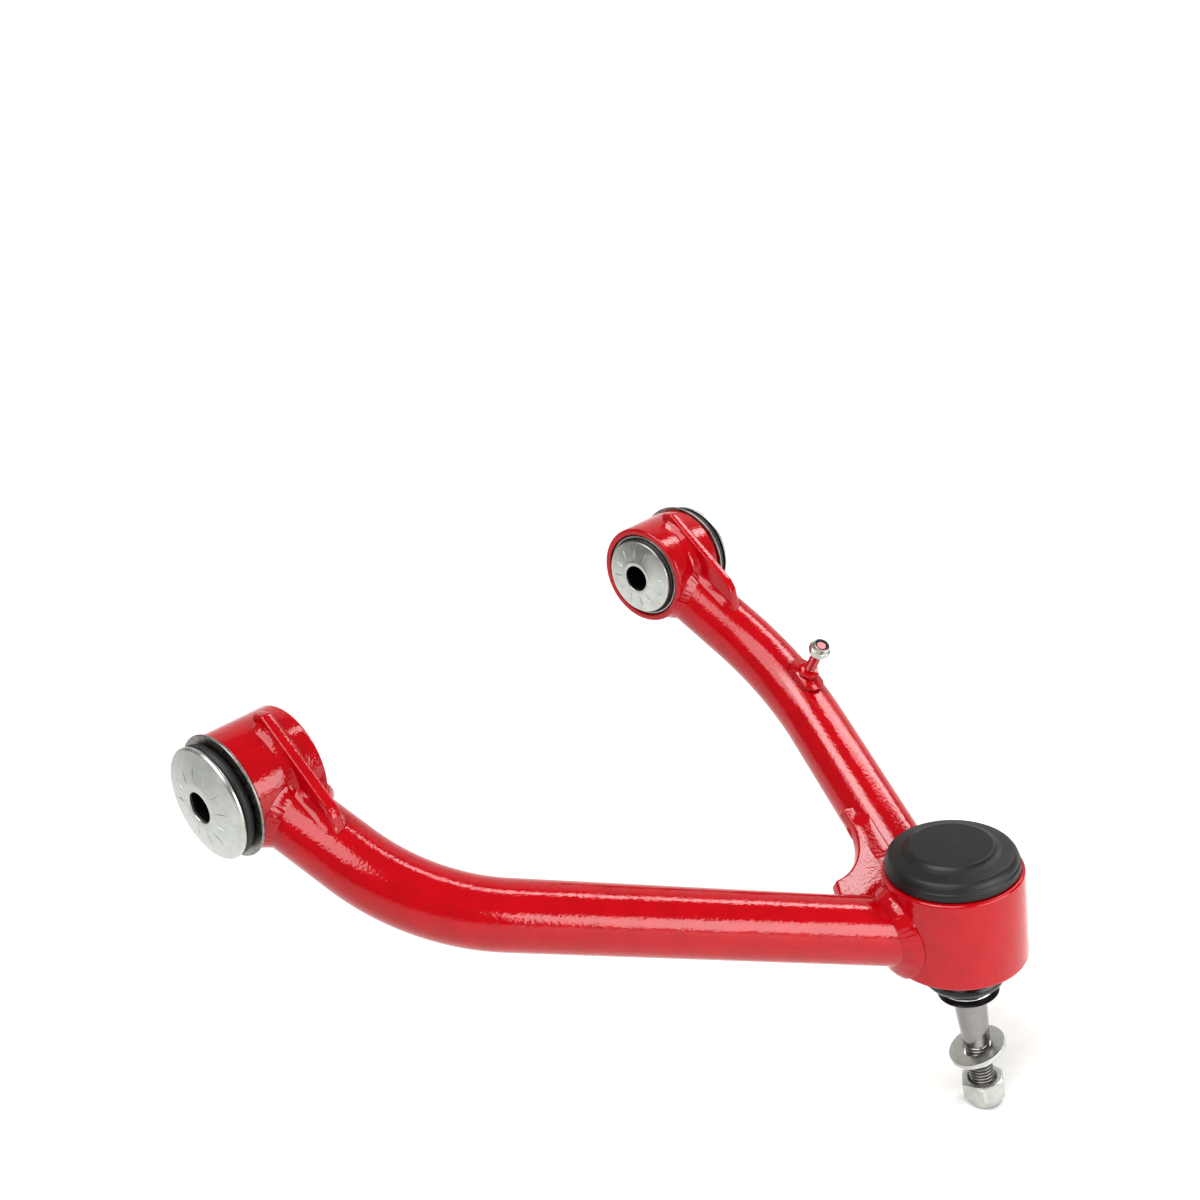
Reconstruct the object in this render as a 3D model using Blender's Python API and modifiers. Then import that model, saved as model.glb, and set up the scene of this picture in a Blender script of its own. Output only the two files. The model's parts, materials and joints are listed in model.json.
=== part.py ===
"""Tubular upper control arm with two rubber bushings and a cartridge ball joint.

Frame: metres, +X along the pivot bolts' axis, +Z up along the ball joint housing's axis, and the
origin midway between the two bushing eyes, on their shared axis. The ball joint lies towards -Y.
Pieces that touch in the real arm keep a clearance of CLEAR, so each stays a separate solid.
"""
import math

import bmesh
import bpy
from mathutils import Matrix, Quaternion, Vector

# ---------------------------------------------------------------- driving dimensions, metres
CLEAR = 0.0003              # gap left between two pieces that touch
MERGE = 0.00002             # welding distance of the turned shapes

EYE_X = 0.1388              # bushing eye centre, each side of the origin
EYE_R = 0.0270
EYE_BORE_R = 0.0233
EYE_IN = -0.0179            # the eye's end towards the arm's middle, from the eye's centre
EYE_OUT = 0.0164            # the eye's end under the flange

BOLT_R = 0.0072             # hole for the pivot bolt
SLEEVE_R = 0.0098
SHELL_R = 0.0230
SHELL_WALL = 0.0014
FLANGE_R = 0.0284
FLANGE_T = 0.0014
OUTER_DISC_R = 0.0260
OUTER_DISC_RIM = 0.0258     # outer face of the big disc at its rim
OUTER_DISC_NOSE = 0.0294    # outer face of the big disc at the bolt hole
INNER_DISC_R = 0.0206
INNER_DISC_RIM = 0.0203
INNER_DISC_NOSE = 0.0231
DISC_T = 0.0016
DISC_FLAT_R = 0.0110        # the flat ring that the vehicle's bracket clamps

BALL = Vector((0.0764, -0.2096, -0.1200))   # centre of the ball
BALL_R = 0.0130
HOUSING_R = 0.0325
HOUSING_TOP = 0.0202        # from here to the boot's lip, heights are from the ball's centre
HOUSING_BOTTOM = -0.0248
HOUSING_BORE_R = 0.0286
LEDGE_TOP = -0.0100
LEDGE_BOTTOM = -0.0140
LEDGE_R = 0.0230
RECESS_R = 0.0290           # mouth of the tapered recess on the stud's side
RIM_ROUND = 0.0015

TUBE_R = 0.01575
TUBE_WALL = 0.0030
PLAIN_START_DROP = 0.0165   # where each tube's line meets the housing's axis, under the ball
BRACKET_START_DROP = 0.0240
PLAIN_CORNER = Vector((-0.1230, -0.0762, -0.0520))
BRACKET_CORNER = Vector((0.1455, -0.0730, -0.0580))
PLAIN_BEND_R = 0.104
BRACKET_BEND_R = 0.140
PLAIN_AIM_X = -0.1430       # where each tube's line meets the pivot axis
BRACKET_AIM_X = 0.1365
BEND_STEPS = 9

BEAD_R = 0.0026
EYE_BEAD_R = 0.0020
BEAD_POINTS = 28

FIN_X = {"plain": -0.1345, "bracket": 0.1392}   # middle plane of the gusset on each eye
FIN_T = 0.0055
FIN_OUTLINE = ((-0.006, 0.0312), (-0.013, 0.0315), (-0.046, -0.0030), (-0.0485, -0.0080),
               (-0.050, -0.0220), (-0.020, -0.0080), (-0.006, 0.0200))

WEB_T = 0.0060
WEB_INNER_R = 0.0360        # the web starts this far from the housing's axis
WEB_NOTCH_AT = (-0.018, 0.0890)   # centre of the web's concave edge, in its own plane
WEB_NOTCH_R = 0.0325

STUD_LEAN = Vector((0.019, -0.080, -1.0))   # the way the stud hangs, swung out a little
SHANK_R = 0.0081
NECK_R = 0.0060
MAX_SWING = 25.0            # degrees the stud may lean before its neck meets the seat
TAPER_FROM = 0.0480         # distances down the stud from the ball's centre
TAPER_TO = 0.0755
TAPER_END_R = 0.00645
THREAD_R = 0.0059
STUD_TIP = 0.1075
WASHER_AT = 0.0795
WASHER_R = 0.0140
WASHER_BORE_R = 0.0073
WASHER_T = 0.0025
WASHER_LEAN = math.radians(15.0)   # the loose washer hangs askew on the thread
WASHER_LEAN_AXIS = Vector((-0.742, -0.670, 0.0))
NUT_FROM = 0.0962
NUT_FLATS = 0.0190
NUT_H = 0.0090
COLLAR_H = 0.0042

LINE_STUD_R = 0.0028
LINE_STUD_AT = 0.31         # fraction of the bracket tube's bend
LINE_STUD_LENGTH = 0.0255
LINE_STUD_LEAN = Vector((-0.088, -0.563, 0.822))
LINE_NUT_FROM = 0.0200
LINE_NUT_FLATS = 0.0100

RED = (0.60, 0.0, 0.015, 1.0)
ZINC = (0.58, 0.60, 0.57, 1.0)
STEEL = (0.42, 0.42, 0.43, 1.0)
BLACK = (0.02, 0.02, 0.02, 1.0)
NYLON = (0.80, 0.80, 0.74, 1.0)

for old in list(bpy.data.objects):
    bpy.data.objects.remove(old, do_unlink=True)

arm = bpy.data.collections.new("control_arm")
cutters = bpy.data.collections.new("cutters")
bpy.context.scene.collection.children.link(arm)
bpy.context.scene.collection.children.link(cutters)


# ---------------------------------------------------------------- helpers
def material(name, color, roughness, metallic):
    """A plain Principled material."""
    made = bpy.data.materials.get(name) or bpy.data.materials.new(name)
    made.use_nodes = True
    shader = made.node_tree.nodes["Principled BSDF"]
    shader.inputs["Base Color"].default_value = color
    shader.inputs["Roughness"].default_value = roughness
    shader.inputs["Metallic"].default_value = metallic
    return made


def finish(obj, look, smooth=True):
    """Give the object its own copy of a look and shade it."""
    color, roughness, metallic = look
    obj.data.materials.clear()
    obj.data.materials.append(material(obj.name, color, roughness, metallic))
    if smooth and obj.type == "MESH":
        obj.data.shade_smooth()
        obj.data.set_sharp_from_angle(angle=math.radians(35))
    return obj


PAINT = (RED, 0.25, 0.0)
PLATED = (ZINC, 0.35, 1.0)
BARE = (STEEL, 0.30, 1.0)
RUBBER = (BLACK, 0.60, 0.0)
PLASTIC = (NYLON, 0.50, 0.0)


def matrix_along(direction, origin=Vector((0.0, 0.0, 0.0))):
    """A frame at origin whose +Z lies along direction."""
    turn = direction.normalized().to_track_quat("Z", "Y").to_matrix().to_4x4()
    return Matrix.Translation(origin) @ turn


def mesh_object(name, mesh, group=arm):
    obj = bpy.data.objects.new(name, mesh)
    group.objects.link(obj)
    return obj


def evaluated_mesh(obj):
    """The object's mesh with its modifiers applied, and its loose caps welded."""
    graph = bpy.context.evaluated_depsgraph_get()
    mesh = bpy.data.meshes.new_from_object(obj.evaluated_get(graph))
    work = bmesh.new()
    work.from_mesh(mesh)
    bmesh.ops.remove_doubles(work, verts=work.verts, dist=MERGE)
    work.to_mesh(mesh)
    work.free()
    return mesh


def baked(obj):
    """Replace a curve or a modified object by its plain mesh, in place."""
    name = obj.name
    group = obj.users_collection[0]
    place = obj.matrix_world.copy()
    mesh = evaluated_mesh(obj)
    bpy.data.objects.remove(obj, do_unlink=True)
    made = mesh_object(name, mesh, group)
    made.matrix_world = place
    return made


def turned(name, outline, place, look, steps=40, group=arm):
    """A solid of revolution: (radius, height) points, top to bottom on the outside."""
    mesh = bpy.data.meshes.new(name)
    points = [(radius, 0.0, height) for radius, height in outline]
    edges = [(i, i + 1) for i in range(len(points) - 1)]
    if outline[0][0] > 0.0:
        edges.append((len(points) - 1, 0))
    mesh.from_pydata(points, edges, [])
    obj = mesh_object(name, mesh, group)
    screw = obj.modifiers.new("turn", "SCREW")
    screw.steps = steps
    screw.render_steps = steps
    screw.use_merge_vertices = True
    screw.merge_threshold = MERGE
    screw.use_smooth_shade = True
    obj = baked(obj)
    obj.matrix_world = place
    return finish(obj, look) if group is arm else obj


def ring(inner, outer, low, high):
    """Outline of a plain ring."""
    return [(outer, high), (outer, low), (inner, low), (inner, high)]


def cylinder(name, radius, start, end, sides=40):
    """A cutter: a round bar from start to end."""
    mesh = bpy.data.meshes.new(name)
    work = bmesh.new()
    bmesh.ops.create_cone(work, cap_ends=True, segments=sides, radius1=radius, radius2=radius,
                          depth=(end - start).length)
    work.to_mesh(mesh)
    work.free()
    obj = mesh_object(name, mesh, cutters)
    obj.matrix_world = matrix_along(end - start, (start + end) / 2.0)
    return obj


def box(name, low, high, place=Matrix.Identity(4), group=cutters):
    """A block between two corners of the given frame."""
    mesh = bpy.data.meshes.new(name)
    work = bmesh.new()
    bmesh.ops.create_cube(work, size=1.0)
    size = Vector(high) - Vector(low)
    bmesh.ops.scale(work, vec=size, verts=work.verts)
    bmesh.ops.translate(work, vec=(Vector(high) + Vector(low)) / 2.0, verts=work.verts)
    work.to_mesh(mesh)
    work.free()
    obj = mesh_object(name, mesh, group)
    obj.matrix_world = place
    return obj


def hexagon(name, flats, low, high, place):
    """A hexagonal bar across the flats."""
    mesh = bpy.data.meshes.new(name)
    work = bmesh.new()
    corner = flats / math.sqrt(3.0)
    bmesh.ops.create_cone(work, cap_ends=True, segments=6, radius1=corner, radius2=corner,
                          depth=high - low)
    bmesh.ops.translate(work, vec=(0.0, 0.0, (high + low) / 2.0), verts=work.verts)
    work.to_mesh(mesh)
    work.free()
    obj = mesh_object(name, mesh)
    obj.matrix_world = place
    return obj


def cut(obj, tools, operation="DIFFERENCE"):
    """Apply exact Booleans with each tool and return the plain mesh object."""
    for tool in tools:
        tool.hide_render = True
        tool.display_type = "WIRE"
        step = obj.modifiers.new("cut", "BOOLEAN")
        step.operation = operation
        step.solver = "EXACT"
        step.object = tool
    bpy.context.view_layer.update()
    return baked(obj)


def swept(name, points, radius, cyclic=False, resolution=3, group=arm):
    """A round bar along a polyline, as a mesh."""
    data = bpy.data.curves.new(name, "CURVE")
    data.dimensions = "3D"
    data.bevel_depth = radius
    data.bevel_resolution = resolution
    data.use_fill_caps = not cyclic
    spline = data.splines.new("POLY")
    spline.points.add(len(points) - 1)
    for knot, point in zip(spline.points, points):
        knot.co = (*point, 1.0)
    spline.use_cyclic_u = cyclic
    obj = bpy.data.objects.new(name, data)
    group.objects.link(obj)
    return baked(obj)


def plate(name, outline, thickness, place, group=arm):
    """A flat plate, centred on the frame's XY plane."""
    data = bpy.data.curves.new(name, "CURVE")
    data.dimensions = "2D"
    data.fill_mode = "BOTH"
    data.extrude = thickness / 2.0
    spline = data.splines.new("POLY")
    spline.points.add(len(outline) - 1)
    for knot, point in zip(spline.points, outline):
        knot.co = (*point, 0.0, 1.0)
    spline.use_cyclic_u = True
    obj = bpy.data.objects.new(name, data)
    group.objects.link(obj)
    obj.matrix_world = place
    bpy.context.view_layer.update()
    return baked(obj)


def bent_path(start, corner, end, radius):
    """Points along two straight runs with a round bend between them."""
    back = (start - corner).normalized()
    ahead = (end - corner).normalized()
    half = back.angle(ahead) / 2.0
    run = radius / math.tan(half)
    centre = corner + (back + ahead).normalized() * radius / math.sin(half)
    first = corner + back * run - centre
    sweep = math.pi - 2.0 * half
    spin = back.cross(ahead).normalized()
    arc = []
    for i in range(BEND_STEPS + 1):
        turn = Matrix.Rotation(-sweep * i / BEND_STEPS, 3, spin)
        arc.append(centre + turn @ first)
    return [start] + arc + [end]


def seam(point, along, radius, axis_point, axis, drum_r, count):
    """Points where a round tube's surface meets a drum, for the weld bead."""
    side = along.cross(axis).normalized()
    up = side.cross(along).normalized()
    found = []
    for i in range(count):
        angle = 2.0 * math.pi * i / count
        start = point + radius * (math.cos(angle) * side + math.sin(angle) * up)
        offset = start - axis_point
        offset -= offset.dot(axis) * axis
        step = along - along.dot(axis) * axis
        a = step.dot(step)
        b = 2.0 * offset.dot(step)
        c = offset.dot(offset) - drum_r ** 2
        travel = (-b - math.sqrt(b * b - 4.0 * a * c)) / (2.0 * a)
        found.append(start + along * travel)
    return found


# ---------------------------------------------------------------- tubes, eyes and housing
X = Vector((1.0, 0.0, 0.0))
Z = Vector((0.0, 0.0, 1.0))
AT_BALL = Matrix.Translation(BALL)
SIDES = {"plain": -1.0, "bracket": 1.0}

housing_outline = [
    (HOUSING_R - RIM_ROUND, HOUSING_TOP),
    (HOUSING_R - RIM_ROUND * 0.3, HOUSING_TOP - RIM_ROUND * 0.3),
    (HOUSING_R, HOUSING_TOP - RIM_ROUND),
    (HOUSING_R, HOUSING_BOTTOM + RIM_ROUND),
    (HOUSING_R - RIM_ROUND, HOUSING_BOTTOM),
    (RECESS_R, HOUSING_BOTTOM),
    (LEDGE_R, LEDGE_BOTTOM),
    (LEDGE_R, LEDGE_TOP),
    (HOUSING_BORE_R, LEDGE_TOP),
    (HOUSING_BORE_R, HOUSING_TOP),
]
turned("housing", housing_outline, AT_BALL, PAINT, steps=44)

paths = {
    "plain": bent_path(BALL - Z * PLAIN_START_DROP, PLAIN_CORNER, X * PLAIN_AIM_X,
                       PLAIN_BEND_R),
    "bracket": bent_path(BALL - Z * BRACKET_START_DROP, BRACKET_CORNER, X * BRACKET_AIM_X,
                         BRACKET_BEND_R),
}
housing_cutter = cylinder("housing_cutter", HOUSING_R + CLEAR, BALL - Z * 0.08, BALL + Z * 0.08, 64)
eye_cutters = {
    name: cylinder("eye_cutter_" + name, EYE_R + CLEAR, X * side * 0.10, X * side * 0.18, 48)
    for name, side in SIDES.items()
}


def make_tube(name):
    path = paths[name]
    outside = swept("tube_" + name, path, TUBE_R, resolution=6)
    inside = swept("tube_bore_" + name, path, TUBE_R - TUBE_WALL, resolution=4, group=cutters)
    made = cut(outside, [inside, housing_cutter, eye_cutters[name]])
    return finish(made, PAINT)


def make_eye(name, side):
    place = matrix_along(X * side, X * side * EYE_X)
    outline = ring(EYE_BORE_R, EYE_R, EYE_IN, EYE_OUT)
    return turned("eye_" + name, outline, place, PAINT, steps=40)


fin_cutters = {}


def make_fin(name):
    """The upright gusset that runs from the eye's top onto its tube."""
    upright = Matrix(((0, 0, 1, 0), (1, 0, 0, 0), (0, 1, 0, 0), (0, 0, 0, 1)))
    place = Matrix.Translation(X * FIN_X[name]) @ upright
    tool = swept("fin_tube_cutter_" + name, paths[name], TUBE_R + CLEAR, resolution=6, group=cutters)
    made = plate("gusset_" + name, FIN_OUTLINE, FIN_T, place)
    made = cut(made, [eye_cutters[name], tool])
    wide = FIN_T + 2.0 * CLEAR
    fin_cutters[name] = plate("fin_cutter_" + name, FIN_OUTLINE, wide, place, cutters)
    return finish(made, PAINT, smooth=False)


for tube_name, tube_side in SIDES.items():
    make_tube(tube_name)
    make_eye(tube_name, tube_side)
    make_fin(tube_name)

solid_tubes = {
    name: swept("solid_tube_" + name, paths[name], TUBE_R + CLEAR, resolution=6, group=cutters)
    for name in SIDES
}


def make_weld(name, tube, start, aim, axis_point, axis, drum_r, bead_r, tools):
    """A fillet bead around a tube's end, cut back to the tube and to what it is welded to."""
    line = seam(start, (aim - start).normalized(), TUBE_R, axis_point, axis, drum_r, BEAD_POINTS)
    bead = swept(name, line, bead_r, cyclic=True, resolution=2)
    return finish(cut(bead, [solid_tubes[tube]] + tools), PAINT)


below_housing = box("below_housing", (-0.06, -0.06, -0.05), (0.06, 0.06, HOUSING_BOTTOM), AT_BALL)
for tube_name, tube_side in SIDES.items():
    route = paths[tube_name]
    make_weld("weld_housing_" + tube_name, tube_name, route[1], route[0], BALL, Z, HOUSING_R,
              BEAD_R, [housing_cutter, below_housing])
    beyond_eye = box("beyond_eye_" + tube_name, (-0.04, -0.04, EYE_OUT), (0.04, 0.04, 0.05),
                     matrix_along(X * tube_side, X * tube_side * EYE_X))
    make_weld("weld_eye_" + tube_name, tube_name, route[-2], route[-1], Vector(), X, EYE_R,
              EYE_BEAD_R, [eye_cutters[tube_name], fin_cutters[tube_name], beyond_eye])


def make_web():
    """The gusset between the two tubes at the housing, with its concave edge."""
    drop = (PLAIN_START_DROP + BRACKET_START_DROP) / 2.0
    centre = BALL - Z * drop
    plain = (PLAIN_CORNER - paths["plain"][0]).normalized()
    bracket = (BRACKET_CORNER - paths["bracket"][0]).normalized()
    normal = bracket.cross(plain).normalized()
    right = (X - X.dot(normal) * normal).normalized()
    away = normal.cross(right)
    place = Matrix.Identity(4)
    for column, axis in enumerate((right, away, normal)):
        place.col[column] = (*axis, 0.0)
    place.col[3] = (*centre, 1.0)
    notch = Vector(WEB_NOTCH_AT)
    edge = []
    for i in range(13):
        angle = math.radians(-104.0 + 92.0 * i / 12)
        edge.append(notch + WEB_NOTCH_R * Vector((math.cos(angle), math.sin(angle))))
    lines = [Vector((line.dot(right), line.dot(away))).normalized() for line in (plain, bracket)]
    on_plain = lines[0] * edge[0].dot(lines[0])
    on_bracket = lines[1] * edge[-1].dot(lines[1])
    outline = [Vector((0.0, 0.0)), on_bracket] + edge[::-1] + [on_plain]
    near_housing = cylinder("near_housing", WEB_INNER_R, BALL - Z * 0.08, BALL + Z * 0.08, 48)
    made = plate("web", outline, WEB_T, place)
    return finish(cut(made, [near_housing] + list(solid_tubes.values())), PAINT, smooth=False)


make_web()

# ---------------------------------------------------------------- bushings


def make_bushing(name, side):
    """Flanged shell, rubber, inner sleeve and the two dished discs of one eye."""
    place = matrix_along(X * side, X * side * EYE_X)
    flange_low = EYE_OUT + CLEAR
    flange_top = flange_low + FLANGE_T
    shell_bore = SHELL_R - SHELL_WALL
    shell = [(FLANGE_R, flange_top), (FLANGE_R, flange_low), (SHELL_R, flange_low),
             (SHELL_R, EYE_IN + 0.0007), (shell_bore, EYE_IN + 0.0007), (shell_bore, flange_top)]
    turned("bushing_shell_" + name, shell, place, BARE, steps=36)

    core = SLEEVE_R + CLEAR
    rubber_r = shell_bore - CLEAR
    back = OUTER_DISC_NOSE - DISC_T - CLEAR
    front = -INNER_DISC_NOSE + DISC_T + CLEAR
    rubber = [(core, back), (DISC_FLAT_R, back), (0.0230, 0.0242), (0.0246, 0.0234),
              (0.0252, 0.0218), (0.0246, 0.0202), (0.0230, flange_top + 0.0004),
              (rubber_r, flange_top + 0.0004), (rubber_r, -0.0178), (DISC_FLAT_R, front),
              (core, front)]
    turned("bushing_rubber_" + name, rubber, place, RUBBER, steps=28)

    sleeve = ring(BOLT_R, SLEEVE_R, front, back)
    turned("bushing_sleeve_" + name, sleeve, place, PLATED, steps=28)

    outer_disc = [(BOLT_R, OUTER_DISC_NOSE), (DISC_FLAT_R, OUTER_DISC_NOSE),
                  (OUTER_DISC_R, OUTER_DISC_RIM), (OUTER_DISC_R, OUTER_DISC_RIM - DISC_T),
                  (DISC_FLAT_R, OUTER_DISC_NOSE - DISC_T), (BOLT_R, OUTER_DISC_NOSE - DISC_T)]
    turned("bushing_disc_outer_" + name, outer_disc, place, PLATED, steps=32)

    inner_disc = [(BOLT_R, -INNER_DISC_NOSE + DISC_T), (DISC_FLAT_R, -INNER_DISC_NOSE + DISC_T),
                  (INNER_DISC_R, -INNER_DISC_RIM + DISC_T), (INNER_DISC_R, -INNER_DISC_RIM),
                  (DISC_FLAT_R, -INNER_DISC_NOSE), (BOLT_R, -INNER_DISC_NOSE)]
    turned("bushing_disc_inner_" + name, inner_disc, place, PLATED, steps=32)


for tube_name, tube_side in SIDES.items():
    make_bushing(tube_name, tube_side)


# ---------------------------------------------------------------- ball joint cartridge
def arc(radius, first, last, count):
    """Profile points on a ball's surface, by angle above its equator in degrees."""
    found = []
    for i in range(count + 1):
        angle = math.radians(first + (last - first) * i / count)
        found.append((radius * math.cos(angle), radius * math.sin(angle)))
    return found


def make_cartridge():
    """Casing, the two halves of the nylon seat, cover plate, snap ring and dust cap."""
    casing_r = HOUSING_BORE_R - CLEAR
    seat_r = 0.0170
    casing = [(casing_r, 0.0120), (casing_r, LEDGE_TOP + CLEAR), (LEDGE_R - CLEAR, LEDGE_TOP + CLEAR),
              (LEDGE_R - CLEAR, LEDGE_BOTTOM), (0.0168, LEDGE_BOTTOM), (0.0136, -0.0088),
              (seat_r, -0.0088), (seat_r, 0.0120)]
    turned("joint_casing", casing, AT_BALL, BARE, steps=32)

    seat_bore = arc(BALL_R + CLEAR, MAX_SWING - 63.0, -1.0, 4)
    lower = [(seat_r - CLEAR, -CLEAR), (seat_r - CLEAR, -0.0085), (0.0120, -0.0085)] + seat_bore
    turned("seat_lower", lower, AT_BALL, PLASTIC, steps=24)
    upper_bore = arc(BALL_R + CLEAR, 1.0, 68.0, 5)
    upper = [(0.0052, 0.0148), (seat_r - CLEAR, 0.0117), (seat_r - CLEAR, CLEAR)] + upper_bore
    turned("seat_upper", upper, AT_BALL, PLASTIC, steps=24)

    cover = [(0.0, 0.0170), (0.0150, 0.0170), (0.0175, 0.0148), (casing_r, 0.0148),
             (casing_r, 0.0123), (0.0170, 0.0123), (0.0080, 0.0151), (0.0, 0.0151)]
    turned("cover_plate", cover, AT_BALL, BARE, steps=28)

    gap = box("snap_gap", (0.0, -0.004, 0.010), (0.04, 0.004, 0.020), AT_BALL)
    snap = turned("snap_ring", ring(0.0245, casing_r, 0.0151, 0.0167), AT_BALL, BARE, steps=36)
    finish(cut(snap, [gap]), BARE)

    cap = [(0.0, 0.0323), (0.0192, 0.0323), (0.0202, 0.0319), (0.0210, 0.0304), (0.0222, 0.0299),
           (0.0262, 0.0296), (0.0288, 0.0285), (0.0304, 0.0258), (0.0308, HOUSING_TOP + CLEAR),
           (casing_r, HOUSING_TOP + CLEAR), (casing_r, 0.0172), (0.0258, 0.0172),
           (0.0258, 0.0265), (0.0180, 0.0290), (0.0, 0.0290)]
    turned("dust_cap", cap, AT_BALL, RUBBER, steps=28)

    base = [(0.0205, -0.0145), (0.0205, -0.0180), (0.0220, -0.0210), (0.0224, -0.0240),
            (0.0217, -0.0262), (0.0172, -0.0290), (0.0152, -0.0290), (0.0196, -0.0254),
            (0.0203, -0.0238), (0.0200, -0.0218), (0.0186, -0.0192), (0.0182, -0.0145)]
    turned("boot_base", base, AT_BALL, RUBBER, steps=28)


make_cartridge()


# ---------------------------------------------------------------- stud, boot folds and nut
def make_stud_group():
    """What swings with the ball: the stud, the boot's outer folds, washer and nut."""
    swing = bpy.data.objects.new("stud_axis", None)
    arm.objects.link(swing)
    lean = Z.rotation_difference(-STUD_LEAN.normalized())
    along = AT_BALL @ lean.to_matrix().to_4x4()
    halfway = AT_BALL @ Quaternion().slerp(lean, 0.5).to_matrix().to_4x4()
    swing.matrix_world = along

    ball = arc(BALL_R, 76.0, -60.0, 9)
    stud = [(0.0, ball[0][1])] + ball
    stud += [(NECK_R, -0.0128), (NECK_R, -0.0165), (SHANK_R, -0.0205), (SHANK_R, -TAPER_FROM),
             (TAPER_END_R, -TAPER_TO), (THREAD_R - 0.0008, -TAPER_TO),
             (THREAD_R - 0.0008, -TAPER_TO - 0.0012), (THREAD_R, -TAPER_TO - 0.0018),
             (THREAD_R, -STUD_TIP + 0.0010), (THREAD_R - 0.0010, -STUD_TIP), (0.0, -STUD_TIP)]
    members = [turned("stud", stud, along, BARE, steps=24)]

    fold = [(0.0169, -0.0307), (0.0192, -0.0350), (0.0195, -0.0370), (0.0190, -0.0386),
            (0.0132, -0.0424), (0.0115, -0.0424), (0.0172, -0.0382), (0.0178, -0.0369),
            (0.0174, -0.0354), (0.0150, -0.0307)]
    turned("boot_fold", fold, halfway, RUBBER, steps=28)
    neck = [(0.0126, -0.0431), (0.0116, -0.0433), (0.0116, -0.0449), (0.0123, -0.0450),
            (0.0136, -0.0483), (SHANK_R + 0.0006, -0.0483), (SHANK_R + 0.0006, -0.0431)]
    members.append(turned("boot_neck", neck, along, RUBBER, steps=28))
    wire = []
    for i in range(6):
        angle = math.radians(90.0 - 60.0 * i)
        wire.append((0.0125 + 0.0006 * math.cos(angle), -0.0441 + 0.0006 * math.sin(angle)))
    members.append(turned("clip_ring", wire, along, PLATED, steps=28))

    hang = Matrix.Rotation(WASHER_LEAN, 4, WASHER_LEAN_AXIS)
    askew = along @ Matrix.Translation((0.0, 0.0, -WASHER_AT)) @ hang
    washer = ring(WASHER_BORE_R, WASHER_R, -WASHER_T / 2.0, WASHER_T / 2.0)
    members.append(turned("washer", washer, askew, PLATED, steps=28))

    down = along @ Matrix.Translation((0.0, 0.0, -NUT_FROM)) @ Matrix.Rotation(math.pi, 4, "X")
    members += make_nut("stud_nut", down, NUT_FLATS, NUT_H, COLLAR_H, THREAD_R + CLEAR)
    for member in members:
        place = member.matrix_world.copy()
        member.parent = swing
        member.matrix_world = place


def make_nut(name, place, flats, height, collar, bore):
    """A locking nut: chamfered hexagon, round collar and the nylon ring inside the collar."""
    corner = flats / math.sqrt(3.0)
    flat_r = flats / 2.0
    slope = (corner - flat_r) * 0.55
    top = height + collar
    ring_r = bore + (flat_r - bore) * 0.42
    shape = [(0.0, top), (ring_r, top), (flat_r * 0.86, top - collar * 0.25),
             (flat_r * 0.95, height + 0.0001), (corner, height - slope), (corner, slope),
             (flat_r * 0.98, 0.0), (0.0, 0.0)]
    chamfers = turned(name + "_shape", shape, place, PLATED, steps=24, group=cutters)
    sleeve = cylinder(name + "_collar", flat_r * 0.95, place @ Vector((0, 0, height * 0.5)),
                      place @ Vector((0, 0, top)), 24)
    made = hexagon(name, flats, 0.0, height, place)
    made = cut(made, [sleeve], "UNION")
    made = cut(made, [chamfers], "INTERSECT")
    hole = cylinder(name + "_hole", bore, place @ Vector((0, 0, -0.001)),
                    place @ Vector((0, 0, top + 0.001)), 20)
    seat = cylinder(name + "_seat", ring_r + CLEAR, place @ Vector((0, 0, height + 0.0003)),
                    place @ Vector((0, 0, top - 0.0006)), 20)
    made = cut(made, [hole, seat])
    insert = turned(name + "_insert", ring(bore, ring_r, height + 0.0006, top - 0.0009), place,
                    PLASTIC, steps=20)
    return [finish(made, PLATED), insert]


make_stud_group()


# ---------------------------------------------------------------- line bracket stud
def make_line_stud():
    """The saddle, hexagonal base, threaded post and nut for a hose bracket."""
    path = paths["bracket"]
    where = 1 + LINE_STUD_AT * BEND_STEPS
    low = int(where)
    foot = path[low].lerp(path[low + 1], where - low)
    tangent = (path[low + 1] - path[low]).normalized()
    out = (LINE_STUD_LEAN - LINE_STUD_LEAN.dot(tangent) * tangent).normalized()
    side = tangent.cross(out)
    place = Matrix.Identity(4)
    for column, axis in enumerate((tangent, side, out)):
        place.col[column] = (*axis, 0.0)
    place.col[3] = (*(foot + out * TUBE_R), 1.0)

    saddle = box("line_saddle", (-0.0105, -0.0060, -0.0040), (0.0105, 0.0060, 0.0026), place, arm)
    finish(cut(saddle, [solid_tubes["bracket"]]), PAINT, smooth=False)
    base = hexagon("line_base", LINE_NUT_FLATS, 0.0029, 0.0064, place)
    finish(base, PAINT, smooth=False)
    post = [(0.0, LINE_STUD_LENGTH), (LINE_STUD_R - 0.0006, LINE_STUD_LENGTH),
            (LINE_STUD_R, LINE_STUD_LENGTH - 0.0006), (LINE_STUD_R, 0.0067), (0.0, 0.0067)]
    turned("line_post", post, place, PAINT, steps=24)
    nut_place = place @ Matrix.Translation((0.0, 0.0, LINE_NUT_FROM))
    make_nut("line_nut", nut_place, LINE_NUT_FLATS, 0.0040, 0.0022, LINE_STUD_R + CLEAR)


make_line_stud()

for guide in cutters.objects:
    guide.hide_render = True
    guide.hide_set(True)
    guide.display_type = "WIRE"
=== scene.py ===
# %% [markdown]
# # A tubular control arm with rubber bushings and a ball joint
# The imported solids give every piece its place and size. This script gives the pieces their
# finish: powder coat over steel tube, weld beads, zinc plated discs, rubber, a ground stud and
# its thread. Each cell makes one kind of piece and prints what it made. All lengths are metres.

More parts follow.
